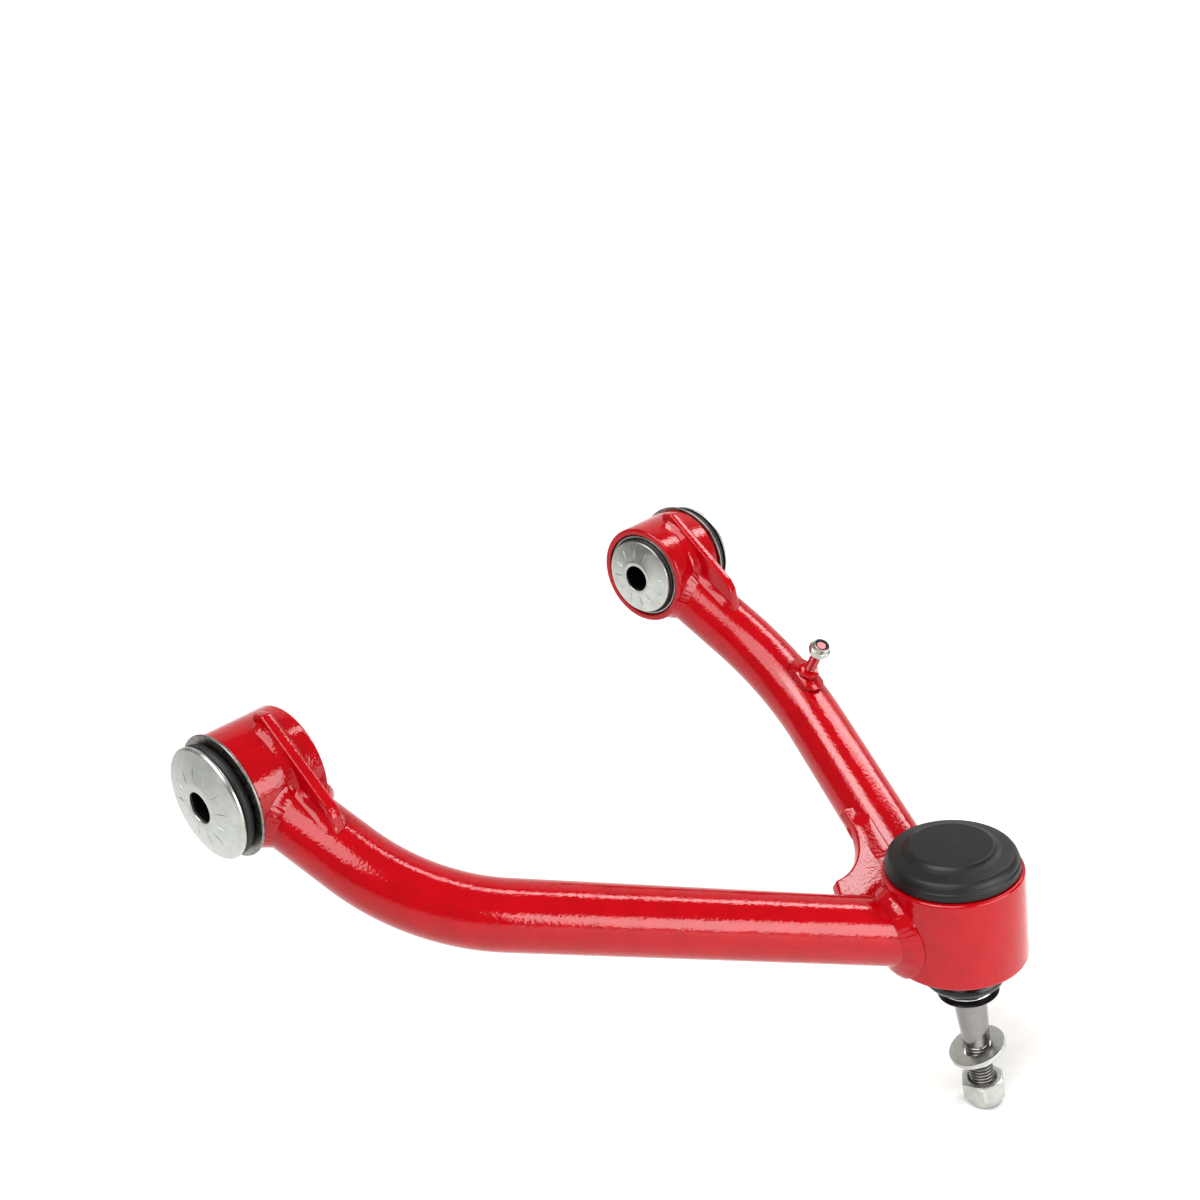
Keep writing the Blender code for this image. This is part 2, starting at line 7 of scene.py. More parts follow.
# %% Load the solids as a fixed frame
import json
import math

import bmesh
import bpy
import numpy as np
from mathutils import Matrix, Quaternion, Vector


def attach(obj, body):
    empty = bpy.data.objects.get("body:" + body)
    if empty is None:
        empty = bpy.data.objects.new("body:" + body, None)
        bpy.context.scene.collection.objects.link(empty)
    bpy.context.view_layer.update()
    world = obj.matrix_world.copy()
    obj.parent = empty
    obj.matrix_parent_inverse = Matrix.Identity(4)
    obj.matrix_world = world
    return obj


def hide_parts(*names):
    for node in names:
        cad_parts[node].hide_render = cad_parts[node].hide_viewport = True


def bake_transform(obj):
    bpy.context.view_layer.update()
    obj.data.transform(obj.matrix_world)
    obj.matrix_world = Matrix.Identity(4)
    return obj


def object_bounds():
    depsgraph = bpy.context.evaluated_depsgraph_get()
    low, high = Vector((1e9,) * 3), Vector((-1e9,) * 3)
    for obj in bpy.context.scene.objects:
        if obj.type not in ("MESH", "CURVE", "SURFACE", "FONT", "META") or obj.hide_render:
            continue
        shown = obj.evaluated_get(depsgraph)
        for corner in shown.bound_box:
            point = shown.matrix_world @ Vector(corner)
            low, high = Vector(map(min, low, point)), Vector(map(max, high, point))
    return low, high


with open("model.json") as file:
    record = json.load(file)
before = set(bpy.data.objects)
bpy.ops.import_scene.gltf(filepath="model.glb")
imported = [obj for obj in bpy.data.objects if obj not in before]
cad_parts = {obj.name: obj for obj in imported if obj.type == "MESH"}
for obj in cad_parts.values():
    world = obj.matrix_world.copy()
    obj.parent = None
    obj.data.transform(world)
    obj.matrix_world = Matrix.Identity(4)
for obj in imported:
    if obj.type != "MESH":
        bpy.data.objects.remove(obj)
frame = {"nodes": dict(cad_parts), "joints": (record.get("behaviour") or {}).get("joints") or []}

cad_low, cad_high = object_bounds()
print("frame box", [round(v, 4) for v in (*cad_low, *cad_high)])

# %% [markdown]
# ## Driving sizes
# The frame holds the pieces, and these are the sizes the pieces were drawn from. X runs along
# the pivot bolts, Z along the ball joint housing, and the ball joint lies towards -Y.

# %% Driving sizes
X = Vector((1.0, 0.0, 0.0))
Z = Vector((0.0, 0.0, 1.0))
SIDES = {"plain": -1.0, "bracket": 1.0}
EYE_X = 0.1388
EYE_R = 0.0270
EYE_BORE_R = 0.0233
EYE_IN = -0.0179
EYE_OUT = 0.0164
BALL = Vector((0.0764, -0.2096, -0.1200))
HOUSING_R = 0.0325
HOUSING_TOP = 0.0202
HOUSING_BOTTOM = -0.0248
HOUSING_BORE_R = 0.0286
TUBE_R = 0.01575
ROUTES = {
    "plain": (BALL - Z * 0.0165, Vector((-0.1230, -0.0762, -0.0520)), X * -0.1430, 0.104),
    "bracket": (BALL - Z * 0.0240, Vector((0.1455, -0.0730, -0.0580)), X * 0.1365, 0.140),
}
FIN_X = {"plain": -0.1345, "bracket": 0.1392}
FIN_T = 0.0055
WEB_T = 0.0060
STUD_DOWN = Vector((0.019, -0.080, -1.0)).normalized()
print("eyes", 2 * EYE_X, "m apart; ball", (BALL - X * EYE_X).length, "m from the eye")

# %% [markdown]
# ## Colours and nodes
# Paint makers and plating charts give colours as sRGB hex values, but the shader works in linear
# light, so one function turns them. One more function adds a node of any kind, with its
# settings, its input values and its links.


# %% Colour and node helpers
def linear(hex_colour):
    """An sRGB hex colour as linear red, green, blue and alpha."""
    parts = [int(hex_colour[i:i + 2], 16) / 255.0 for i in (1, 3, 5)]
    light = [c / 12.92 if c <= 0.04045 else ((c + 0.055) / 1.055) ** 2.4 for c in parts]
    return (*light, 1.0)


def add(tree, kind, values=None, links=None, **settings):
    """One node: settings are its own properties, values and links go to its inputs."""
    node = tree.nodes.new(kind)
    for key, value in settings.items():
        setattr(node, key, value)
    for key, value in (values or {}).items():
        node.inputs[key].default_value = value
    for key, socket in (links or {}).items():
        tree.links.new(socket, node.inputs[key])
    return node


def surface(name, colour, **constants):
    """A material whose even values sit on the shader's own sockets."""
    made = bpy.data.materials.new(name)
    made.use_nodes = True
    shader = made.node_tree.nodes["Principled BSDF"]
    shader.inputs["Base Color"].default_value = linear(colour)
    for key, value in constants.items():
        shader.inputs[key.replace("_", " ")].default_value = value
    return made, made.node_tree, shader


def noise(tree, size, detail=2.0, rough=0.5):
    """Noise on the object's own metres, with features about size across."""
    where = add(tree, "ShaderNodeTexCoord")
    values = {"Scale": 1.0 / size, "Detail": detail, "Roughness": rough}
    return add(tree, "ShaderNodeTexNoise", values, {"Vector": where.outputs["Object"]})


def tint(tree, shader, factor, first, second, low=0.35, high=0.65):
    """The base colour runs from first to second as factor goes from low to high."""
    ramp = add(tree, "ShaderNodeValToRGB", links={"Fac": factor})
    ramp.color_ramp.elements[0].position = low
    ramp.color_ramp.elements[0].color = linear(first)
    ramp.color_ramp.elements[1].position = high
    ramp.color_ramp.elements[1].color = linear(second)
    tree.links.new(ramp.outputs["Color"], shader.inputs["Base Color"])


def vary(tree, shader, factor, low, high):
    """The roughness runs from low to high with the factor."""
    values = {"From Min": 0.3, "From Max": 0.7, "To Min": low, "To Max": high}
    spread = add(tree, "ShaderNodeMapRange", values, {"Value": factor})
    tree.links.new(spread.outputs["Result"], shader.inputs["Roughness"])


def relief(tree, shader, layers):
    """Stacked bumps, each a factor and the height in metres that it stands for."""
    normal = None
    for factor, height in layers:
        links = {"Height": factor}
        if normal is not None:
            links["Normal"] = normal
        bump = add(tree, "ShaderNodeBump", {"Strength": 1.0, "Distance": height}, links)
        normal = bump.outputs[0]
    tree.links.new(normal, shader.inputs["Normal"])


print("middle grey in linear light", round(linear("#808080")[0], 3))

# %% [markdown]
# ## Powder coat
# The arm is steel, sprayed with dry polyester powder and baked. The melt flows into a thick
# glossy skin that still keeps the waves of the powder, the orange peel, a little over 1 mm
# across, on slower waves about 10 mm across. They break up the edge of every reflection.
# The resin and its pigment are one layer, so the shader needs no separate clear coat.


# %% Powder coat
PEEL_SIZE = 0.0013
PEEL_DEPTH = 0.00010
FLOW_SIZE = 0.010
FLOW_DEPTH = 0.00007


def powder_coat():
    made, tree, shader = surface("polyester_powder_coat", "#A20210", Roughness=0.08)
    peel = noise(tree, PEEL_SIZE, 1.5)
    flow = noise(tree, FLOW_SIZE, 2.0)
    tint(tree, shader, flow.outputs["Fac"], "#9E0210", "#A60313")
    relief(tree, shader, [(flow.outputs["Fac"], FLOW_DEPTH), (peel.outputs["Fac"], PEEL_DEPTH)])
    return made


PAINT = powder_coat()
print("made", PAINT.name, "with waves", PEEL_SIZE, "and", FLOW_SIZE, "m across")

# %% [markdown]
# ## Metals
# Zinc plating with a clear passivate is pale grey with a faint green cast and a cloudy satin.
# The bushing's pressed flange is bare, darker steel with scuffs from handling. A metal has no
# colour but its reflection's, so both keep Metallic at 1 and differ in tint and roughness.


# %% Zinc plate and pressed steel
def zinc_plate():
    made, tree, shader = surface("zinc_plate_clear_passivate", "#B9BCB7", Metallic=1.0,
                                 Roughness=0.34)
    cloud = noise(tree, 0.006, 4.0, 0.6)
    grain = noise(tree, 0.0005, 3.0)
    tint(tree, shader, cloud.outputs["Fac"], "#B2B6B1", "#C4C7C2")
    vary(tree, shader, cloud.outputs["Fac"], 0.28, 0.42)
    relief(tree, shader, [(grain.outputs["Fac"], 0.000008)])
    return made


def pressed_steel():
    made, tree, shader = surface("pressed_bare_steel", "#8C8A86", Metallic=1.0, Roughness=0.38)
    scuffs = noise(tree, 0.0022, 5.0, 0.65)
    tint(tree, shader, scuffs.outputs["Fac"], "#75736F", "#A3A09B")
    vary(tree, shader, scuffs.outputs["Fac"], 0.30, 0.48)
    relief(tree, shader, [(scuffs.outputs["Fac"], 0.00002)])
    return made


ZINC = zinc_plate()
PRESSED = pressed_steel()
print("made", ZINC.name, "and", PRESSED.name)

# %% [markdown]
# The stud's taper is ground between centres, so it carries fine rings round its axis. The
# thread below it is rolled, and its valleys are dark. The thread's own mesh says where they are.


# %% Steels of the stud
def ground_steel():
    """Grinding rings a real 0.05 mm apart are drawn 0.35 mm apart, so that they show."""
    made, tree, shader = surface("ground_steel", "#8F8D8D", Metallic=1.0, Roughness=0.17)
    where = add(tree, "ShaderNodeTexCoord")
    values = {"Scale": 1.0 / (0.00035 * 20.0), "Distortion": 0.6, "Detail": 2.0,
              "Detail Scale": 40.0}
    rings = add(tree, "ShaderNodeTexWave", values, {"Vector": where.outputs["Object"]},
                bands_direction="Z")
    haze = noise(tree, 0.004, 3.0)
    tint(tree, shader, haze.outputs["Fac"], "#8A8888", "#949292", 0.2, 0.8)
    vary(tree, shader, haze.outputs["Fac"], 0.14, 0.19)
    relief(tree, shader, [(rings.outputs["Fac"], 0.000004)])
    return made


def threaded_steel():
    """The attribute named groove is 1 in a thread's valley, and the colour is darker there."""
    made, tree, shader = surface("rolled_thread_steel", "#7E7A77", Metallic=1.0, Roughness=0.34)
    groove = add(tree, "ShaderNodeAttribute", attribute_name="groove")
    tint(tree, shader, groove.outputs["Fac"], "#9A9692", "#35312F", 0.1, 0.9)
    grain = noise(tree, 0.0006, 3.0)
    relief(tree, shader, [(grain.outputs["Fac"], 0.00001)])
    return made


GROUND = ground_steel()
THREADED = threaded_steel()
print("made", GROUND.name, "and", THREADED.name)

# %% [markdown]
# The boot's clip is bright drawn wire. The bushings' inner sleeves are painted near black, a
# painted shade for the dark inside of the bore.


# %% Wire and painted bore shade
def spring_wire():
    made, tree, shader = surface("spring_steel_wire", "#CFCFD0", Metallic=1.0, Roughness=0.16)
    haze = noise(tree, 0.0015, 3.0)
    vary(tree, shader, haze.outputs["Fac"], 0.12, 0.24)
    return made


# Near black on the inner sleeve: painted shade for the dark inside of the bushing's bore.
def painted_bore_shade():
    made, tree, shader = surface("sleeve_painted_shade", "#2E2D2C", Metallic=1.0, Roughness=0.5)
    grain = noise(tree, 0.0007, 3.0)
    tint(tree, shader, grain.outputs["Fac"], "#272625", "#383735")
    relief(tree, shader, [(grain.outputs["Fac"], 0.00001)])
    return made


WIRE = spring_wire()
PAINTED_BORE_SHADE = painted_bore_shade()
print("made", WIRE.name, "and", PAINTED_BORE_SHADE.name)

# %% [markdown]
# ## Rubber and plastics
# The bushing's natural rubber is matt with a fine mould grain. The boot is chloroprene from a
# polished mould, so it is much glossier. The dust cap is a satin black moulding. The locking
# nuts hold a ring of dark blue nylon, and the ball turns in an off-white acetal seat.


# %% Rubber and plastics
def moulding(name, dark, light, rough_low, rough_high, grain_size, grain_height):
    """A rubber or plastic with a fine mould grain and a slow change of bloom."""
    made, tree, shader = surface(name, dark, Roughness=rough_low)
    grain = noise(tree, grain_size, 3.0, 0.6)
    bloom = noise(tree, 0.009, 3.0)
    tint(tree, shader, bloom.outputs["Fac"], dark, light)
    vary(tree, shader, bloom.outputs["Fac"], rough_low, rough_high)
    relief(tree, shader, [(grain.outputs["Fac"], grain_height)])
    return made


RUBBER = moulding("natural_rubber", "#161616", "#202020", 0.46, 0.60, 0.0006, 0.00003)
BOOT_RUBBER = moulding("chloroprene_boot", "#0C0C0C", "#141414", 0.20, 0.30, 0.0012, 0.00001)
CAP_BLACK = moulding("satin_black_polypropylene", "#0A0A0A", "#0F0F0F", 0.44, 0.52, 0.0005,
                     0.000012)
ACETAL = moulding("acetal", "#D9D6C6", "#E2E0D3", 0.38, 0.46, 0.0010, 0.00001)
NYLON = moulding("locking_nylon", "#1C2634", "#263344", 0.34, 0.44, 0.0008, 0.00001)
print("mouldings", [m.name for m in (RUBBER, BOOT_RUBBER, CAP_BLACK, ACETAL, NYLON)])

# %% [markdown]
# ## Pieces
# Every finished piece is one mesh object at the origin, unturned and unscaled, with its place
# in its mesh. Its faces are shaded smooth, and only edges past an angle stay sharp.


# %% Pieces
def linked(name, data):
    """A new object in the scene that shows data."""
    obj = bpy.data.objects.new(name, data)
    bpy.context.scene.collection.objects.link(obj)
    return obj


def piece(name, vertices, faces, material, place=None, sharp=40.0):
    """A shaded mesh object at the origin, with its place in its mesh."""
    mesh = bpy.data.meshes.new(name)
    mesh.from_pydata([tuple(v) for v in vertices], [], faces)
    if place is not None:
        mesh.transform(place)
    mesh.materials.append(material)
    mesh.shade_smooth()
    mesh.set_sharp_from_angle(angle=math.radians(sharp))
    return linked(name, mesh)


def place_along(direction, origin=Vector()):
    """A frame at origin whose Z lies along direction."""
    turn = direction.normalized().to_track_quat("Z", "Y").to_matrix().to_4x4()
    return Matrix.Translation(origin) @ turn


print("a frame along X has its Z at", tuple(round(v, 3) for v in place_along(X).col[2][:3]))

# %% [markdown]
# ## Turned shapes
# Most pieces are turned on a lathe, so a helper sweeps an outline round an axis. A real turned
# edge is never sharp: each corner of an outline can carry a small radius, which becomes a curve
# of a few short steps.


# %% Turned shapes
def rounded(outline, closed, arc_steps=5):
    """The outline with an arc at each corner that names a radius as its third number."""
    flat = []
    count = len(outline)
    for i, corner in enumerate(outline):
        here = Vector(corner[:2])
        if len(corner) < 3 or (not closed and i in (0, count - 1)):
            flat.append(here)
            continue
        before = (Vector(outline[i - 1][:2]) - here)
        after = (Vector(outline[(i + 1) % count][:2]) - here)
        half = before.angle(after) / 2.0
        run = min(corner[2] / math.tan(half), before.length * 0.49, after.length * 0.49)
        start = here + before.normalized() * run
        end = here + after.normalized() * run
        for k in range(arc_steps + 1):
            t = k / arc_steps
            flat.append(start * (1 - t) ** 2 + here * 2 * t * (1 - t) + end * t * t)
    return flat


def turned(name, outline, place, material, steps=128, swing=None, sharp=40.0):
    """Sweeps (radius, height, corner radius) points round Z. The outline runs down its outer side.

    swing, if given, turns each height's circle about the origin, for a bellows that bends.
    """
    closed = outline[0][0] > 0.0
    points = rounded(outline, closed)
    vertices = []
    rings = []
    for radius, height in points:
        tilt = swing(height) if swing else Matrix.Identity(3)
        if radius < 1e-9:
            rings.append([len(vertices)] * steps)
            vertices.append(tilt @ Vector((0.0, 0.0, height)))
            continue
        rings.append(list(range(len(vertices), len(vertices) + steps)))
        for k in range(steps):
            angle = 2.0 * math.pi * k / steps
            across, beside = radius * math.cos(angle), radius * math.sin(angle)
            vertices.append(tilt @ Vector((across, beside, height)))
    faces = []
    pairs = list(zip(rings, rings[1:] + rings[:1])) if closed else list(zip(rings, rings[1:]))
    for upper, lower in pairs:
        for k in range(steps):
            n = (k + 1) % steps
            loop = [upper[k], lower[k], lower[n], upper[n]]
            faces.append(tuple(dict.fromkeys(loop)))
    return piece(name, vertices, faces, material, place, sharp)


print("one broken corner has", len(rounded([(2, 2), (2, 0, 1), (0, 0)], False)) - 2, "points")

# %% [markdown]
# ## Plain meshes and cuts
# A modifier's result is copied out as a plain mesh, its doubled points are merged and its
# faces are turned outwards. A cut takes a solid tool out of a piece, as a notcher does.


# %% Plain meshes and cuts
MERGE = 1e-6         # points nearer than this are one point


def outwards(mesh, merge=True):
    """Merges doubled points if asked, and turns the faces outwards."""
    work = bmesh.new()
    work.from_mesh(mesh)
    if merge:
        bmesh.ops.remove_doubles(work, verts=work.verts, dist=MERGE)
    bmesh.ops.recalc_face_normals(work, faces=work.faces)
    work.to_mesh(mesh)
    work.free()


def plain_mesh(obj):
    """Turns an object's evaluated result into a plain mesh object of the same name."""
    graph = bpy.context.evaluated_depsgraph_get()
    mesh = bpy.data.meshes.new_from_object(obj.evaluated_get(graph))
    name = obj.name
    bpy.data.objects.remove(obj, do_unlink=True)
    outwards(mesh)
    return linked(name, mesh)


def cut_back(obj, tools):
    """Takes the tools out of the piece and removes them."""
    for tool in tools:
        step = obj.modifiers.new("cut", "BOOLEAN")
        step.operation = "DIFFERENCE"
        step.solver = "EXACT"
        step.object = tool
    made = plain_mesh(obj)
    for tool in tools:
        bpy.data.objects.remove(tool, do_unlink=True)
    made.data.shade_smooth()
    made.data.set_sharp_from_angle(angle=math.radians(40.0))
    return made


print("points merge within", MERGE, "m")

# %% [markdown]
# ## Bodies
# The arm moves as eleven rigid bodies. Each piece rides on one and stands for the solids it
# replaces.


# %% Bodies
def fitted(obj, *nodes, body="arm", slot=None):
    """The piece rides on a body and hides the nodes that it stands for. The slot is not used."""
    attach(obj, body)
    if nodes:
        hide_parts(*nodes)
    return obj


# %% [markdown]
# ## Geometry Nodes helper
# What follows a path or repeats is made by small node trees. Each tree has named inputs, and a
# modifier's inputs are set by the sockets' identifiers, before the result is made a plain mesh.


# %% Geometry Nodes helper
def node_tree(name, sockets):
    """A geometry tree with named inputs; returns the tree and its input node."""
    tree = bpy.data.node_groups.new(name, "GeometryNodeTree")
    tree.interface.new_socket("Geometry", in_out="INPUT", socket_type="NodeSocketGeometry")
    for socket, kind in sockets.items():
        tree.interface.new_socket(socket, in_out="INPUT", socket_type=kind)
    tree.interface.new_socket("Geometry", in_out="OUTPUT", socket_type="NodeSocketGeometry")
    return tree, add(tree, "NodeGroupInput")


def end_tree(tree, start, geometry):
    """Shade smooth, realize, set the material and give the result."""
    smooth = add(tree, "GeometryNodeSetShadeSmooth", links={"Geometry": geometry})
    real = add(tree, "GeometryNodeRealizeInstances", links={"Geometry": smooth.outputs[0]})
    painted = add(tree, "GeometryNodeSetMaterial", links={
        "Geometry": real.outputs[0], "Material": start.outputs["Material"]})
    add(tree, "NodeGroupOutput", links={0: painted.outputs[0]})


def grown(obj, tree, **values):
    """Runs the tree on the object and returns the result as a plain mesh object."""
    step = obj.modifiers.new(tree.name, "NODES")
    step.node_group = tree
    for item in tree.interface.items_tree:
        if item.in_out == "INPUT" and item.name in values:
            step[item.identifier] = values[item.name]
    return plain_mesh(obj)


print("helpers ready")

# %% [markdown]
# ## Housing and eyes
# The three short tubes that hold the ball joint and the bushings are turned, and their edges
# are broken before welding. Their corners carry radii of 0.3 to 2.2 mm, under the paint's skin.

# %% Housing and eyes
AT_BALL = Matrix.Translation(BALL)
housing_outline = [
    (HOUSING_R, HOUSING_TOP, 0.0016), (HOUSING_R, HOUSING_BOTTOM, 0.0022),
    (0.0290, HOUSING_BOTTOM, 0.0012), (0.0230, -0.0140, 0.0008), (0.0230, -0.0100, 0.0003),
    (HOUSING_BORE_R, -0.0100), (HOUSING_BORE_R, HOUSING_TOP, 0.0008),
]
housing = turned("housing_shell", housing_outline, AT_BALL, PAINT, 160)
fitted(housing, "housing", slot="red_powder_coat")


def eye_place(name):
    side = SIDES[name]
    return place_along(X * side, X * side * EYE_X)


for side_name in SIDES:
    eye_outline = [(EYE_R, EYE_OUT, 0.0008), (EYE_R, EYE_IN, 0.0015), (EYE_BORE_R, EYE_IN, 0.0010),
                   (EYE_BORE_R, EYE_OUT)]
    eye = turned("eye_tube_" + side_name, eye_outline, eye_place(side_name), PAINT, 160)
    fitted(eye, "eye_" + side_name, slot="red_powder_coat")
print("housing", len(housing.data.polygons), "faces")

# %% [markdown]
# ## Bent tubes
# Each leg is one length of steel tube with a single mandrel bend. Its line is two straight runs
# and an arc, and a node tree sweeps a circle along it. The ends are then coped, cut to the
# round of the eye and of the housing, as a tube notcher does it.


# %% Bent tubes
def route(start, corner, end, radius, arc_points=48):
    """Points along two straight runs with a round bend between them."""
    back = (start - corner).normalized()
    ahead = (end - corner).normalized()
    half = back.angle(ahead) / 2.0
    centre = corner + (back + ahead).normalized() * radius / math.sin(half)
    first = corner + back * radius / math.tan(half) - centre
    spin = back.cross(ahead).normalized()
    sweep = math.pi - 2.0 * half
    bend = [centre + Matrix.Rotation(-sweep * i / arc_points, 3, spin) @ first
            for i in range(arc_points + 1)]
    straight = 30
    run_in = [start.lerp(bend[0], i / straight) for i in range(straight)]
    run_out = [bend[-1].lerp(end, (i + 1) / straight) for i in range(straight)]
    return run_in + bend + run_out


def tube_tree():
    tree, start = node_tree("Swept tube", {"Radius": "NodeSocketFloat", "Sides": "NodeSocketInt",
                                           "Material": "NodeSocketMaterial"})
    circle = add(tree, "GeometryNodeCurvePrimitiveCircle",
                 links={"Resolution": start.outputs["Sides"], "Radius": start.outputs["Radius"]})
    swept = add(tree, "GeometryNodeCurveToMesh", {"Fill Caps": True},
                {"Curve": start.outputs["Geometry"], "Profile Curve": circle.outputs["Curve"]})
    end_tree(tree, start, swept.outputs["Mesh"])
    return tree


def curve_object(name, points):
    """A straight-sided curve through the points."""
    data = bpy.data.curves.new(name, "CURVE")
    data.dimensions = "3D"
    spline = data.splines.new("POLY")
    spline.points.add(len(points) - 1)
    for knot, point in zip(spline.points, points):
        knot.co = (*point, 1.0)
    return linked(name, data)


def drum(radius, centre, axis, length):
    """A cutter: a solid round bar about an axis."""
    return turned("drum", [(0.0, length), (radius, length), (radius, -length), (0.0, -length)],
                  place_along(axis, centre), PAINT, 192)


SWEPT_TUBE = tube_tree()
LINES = {name: route(*ROUTES[name]) for name in ROUTES}
OVERLAP = 0.0008     # how far a coped end reaches under the surface it meets
for side_name, side in SIDES.items():
    leg = grown(curve_object("leg_tube_" + side_name, LINES[side_name]), SWEPT_TUBE,
                Radius=TUBE_R, Sides=72, Material=PAINT)
    leg = cut_back(leg, [drum(HOUSING_R - OVERLAP, BALL, Z, 0.08),
                         drum(EYE_R - OVERLAP, X * side * EYE_X, X, 0.04)])
    fitted(leg, "tube_" + side_name, slot="red_powder_coat")
    print(leg.name, len(leg.data.polygons), "faces")

# %% [markdown]
# ## Gussets and web
# Flat plates stiffen the joints: an upright gusset over each eye, and a web between the legs at
# the housing, cut to a concave edge. They are laser cut outlines, so they are built from flat
# outlines, given their thickness, and bevelled, because paint rounds a cut edge.


# %% Gussets
def plate(name, outline, thickness, place, edge):
    """A flat plate on the frame's XY plane, with rounded edges."""
    work = bmesh.new()
    corners = [work.verts.new((x, y, -thickness / 2.0)) for x, y in outline]
    face = work.faces.new(corners)
    raised = bmesh.ops.extrude_face_region(work, geom=[face])
    moved = [v for v in raised["geom"] if isinstance(v, bmesh.types.BMVert)]
    bmesh.ops.translate(work, verts=moved, vec=(0.0, 0.0, thickness))
    bmesh.ops.recalc_face_normals(work, faces=work.faces)
    bmesh.ops.bevel(work, geom=work.edges[:], offset=edge, segments=4, profile=0.5,
                    affect="EDGES", clamp_overlap=True)
    mesh = bpy.data.meshes.new(name)
    work.to_mesh(mesh)
    work.free()
    mesh.transform(place)
    mesh.materials.append(PAINT)
    return linked(name, mesh)


FIN_OUTLINE = ((-0.006, 0.0312), (-0.013, 0.0315), (-0.046, -0.0030), (-0.0485, -0.0080),
               (-0.050, -0.0220), (-0.020, -0.0080), (-0.006, 0.0200))
UPRIGHT = Matrix(((0, 0, 1, 0), (1, 0, 0, 0), (0, 1, 0, 0), (0, 0, 0, 1)))
for side_name, side in SIDES.items():
    fin = plate("gusset_plate_" + side_name, FIN_OUTLINE, FIN_T,
                Matrix.Translation(X * FIN_X[side_name]) @ UPRIGHT, 0.0012)
    fin = cut_back(fin, [drum(EYE_R - OVERLAP, X * side * EYE_X, X, 0.04)])
    fitted(fin, "gusset_" + side_name, slot="red_powder_coat")
print("gussets", FIN_T, "m thick")

# %% [markdown]
# The web lies in the plane of the two legs' lower runs. Its free edge is a concave arc, and its
# other two edges lie inside the legs.

# %% Web between the legs
web_centre = (ROUTES["plain"][0] + ROUTES["bracket"][0]) / 2.0
to_plain = (ROUTES["plain"][1] - ROUTES["plain"][0]).normalized()
to_bracket = (ROUTES["bracket"][1] - ROUTES["bracket"][0]).normalized()
web_normal = to_bracket.cross(to_plain).normalized()
web_right = (X - X.dot(web_normal) * web_normal).normalized()
web_away = web_normal.cross(web_right)
web_place = Matrix.Identity(4)
for column, axis in enumerate((web_right, web_away, web_normal)):
    web_place.col[column] = (*axis, 0.0)
web_place.col[3] = (*web_centre, 1.0)
NOTCH_AT = Vector((-0.018, 0.0890))
NOTCH_R = 0.0325
notch = [NOTCH_AT + NOTCH_R * Vector((math.cos(math.radians(a)), math.sin(math.radians(a))))
         for a in np.linspace(-104.0, -12.0, 25)]
in_web = [Vector((run.dot(web_right), run.dot(web_away))).normalized()
          for run in (to_plain, to_bracket)]
web_reach = {"plain": notch[0].dot(in_web[0]), "bracket": notch[-1].dot(in_web[1])}
web_outline = [Vector((0.0, 0.0)), in_web[1] * web_reach["bracket"]] + notch[::-1]
web_outline.append(in_web[0] * web_reach["plain"])
web = plate("web_plate", web_outline, WEB_T, web_place, 0.0010)
web = cut_back(web, [drum(HOUSING_R - OVERLAP, BALL, Z, 0.08)])
fitted(web, "web", slot="red_powder_coat")
print("web reaches", {k: round(v, 4) for k, v in web_reach.items()}, "m along the legs")

# %% [markdown]
# ## Weld beads
# Every seam is filled by a MIG fillet weld. Its section is a corner filled by a curve with one
# foot on each surface. A node tree adds what the torch leaves: the ripple of the frozen pool
# about 2 mm apart, and slow lumps where the hand moved unevenly.


# %% Weld ripples
WELD_PITCH = 0.0023
WELD_RIPPLE = 0.00014
LUMP_SIZE = 0.009


def weld_tree():
    tree, start = node_tree("Weld ripples", {
        "Pitch": "NodeSocketFloat", "Ripple": "NodeSocketFloat", "Lump size": "NodeSocketFloat",
        "Lump height": "NodeSocketFloat", "Material": "NodeSocketMaterial"})
    along = add(tree, "GeometryNodeInputNamedAttribute", {"Name": "along"}, data_type="FLOAT")
    crown = add(tree, "GeometryNodeInputNamedAttribute", {"Name": "crown"}, data_type="FLOAT")
    turns = add(tree, "ShaderNodeMath", links={0: along.outputs[0], 1: start.outputs["Pitch"]},
                operation="DIVIDE")
    angle = add(tree, "ShaderNodeMath", {1: 2.0 * math.pi}, {0: turns.outputs[0]},
                operation="MULTIPLY")
    wave = add(tree, "ShaderNodeMath", links={0: angle.outputs[0]}, operation="SINE")
    ripple = add(tree, "ShaderNodeMath", links={0: wave.outputs[0], 1: start.outputs["Ripple"]},
                 operation="MULTIPLY")
    scale = add(tree, "ShaderNodeMath", {0: 1.0}, {1: start.outputs["Lump size"]},
                operation="DIVIDE")
    lumps = add(tree, "ShaderNodeTexNoise", {"Detail": 1.0}, {"Scale": scale.outputs[0]})
    centred = add(tree, "ShaderNodeMath", {1: 0.5}, {0: lumps.outputs[0]},
                  operation="SUBTRACT")
    lump = add(tree, "ShaderNodeMath", links={
        0: centred.outputs[0], 1: start.outputs["Lump height"]}, operation="MULTIPLY")
    both = add(tree, "ShaderNodeMath", links={0: ripple.outputs[0], 1: lump.outputs[0]},
               operation="ADD")
    height = add(tree, "ShaderNodeMath", links={0: both.outputs[0], 1: crown.outputs[0]},
                 operation="MULTIPLY")
    normal = add(tree, "GeometryNodeInputNormal")
    offset = add(tree, "ShaderNodeVectorMath", links={
        0: normal.outputs[0], "Scale": height.outputs[0]}, operation="SCALE")
    moved = add(tree, "GeometryNodeSetPosition", links={
        "Geometry": start.outputs["Geometry"], "Offset": offset.outputs[0]})
    end_tree(tree, start, moved.outputs[0])
    return tree


WELD_RIPPLES = weld_tree()
print("weld ripples", WELD_PITCH, "m apart")

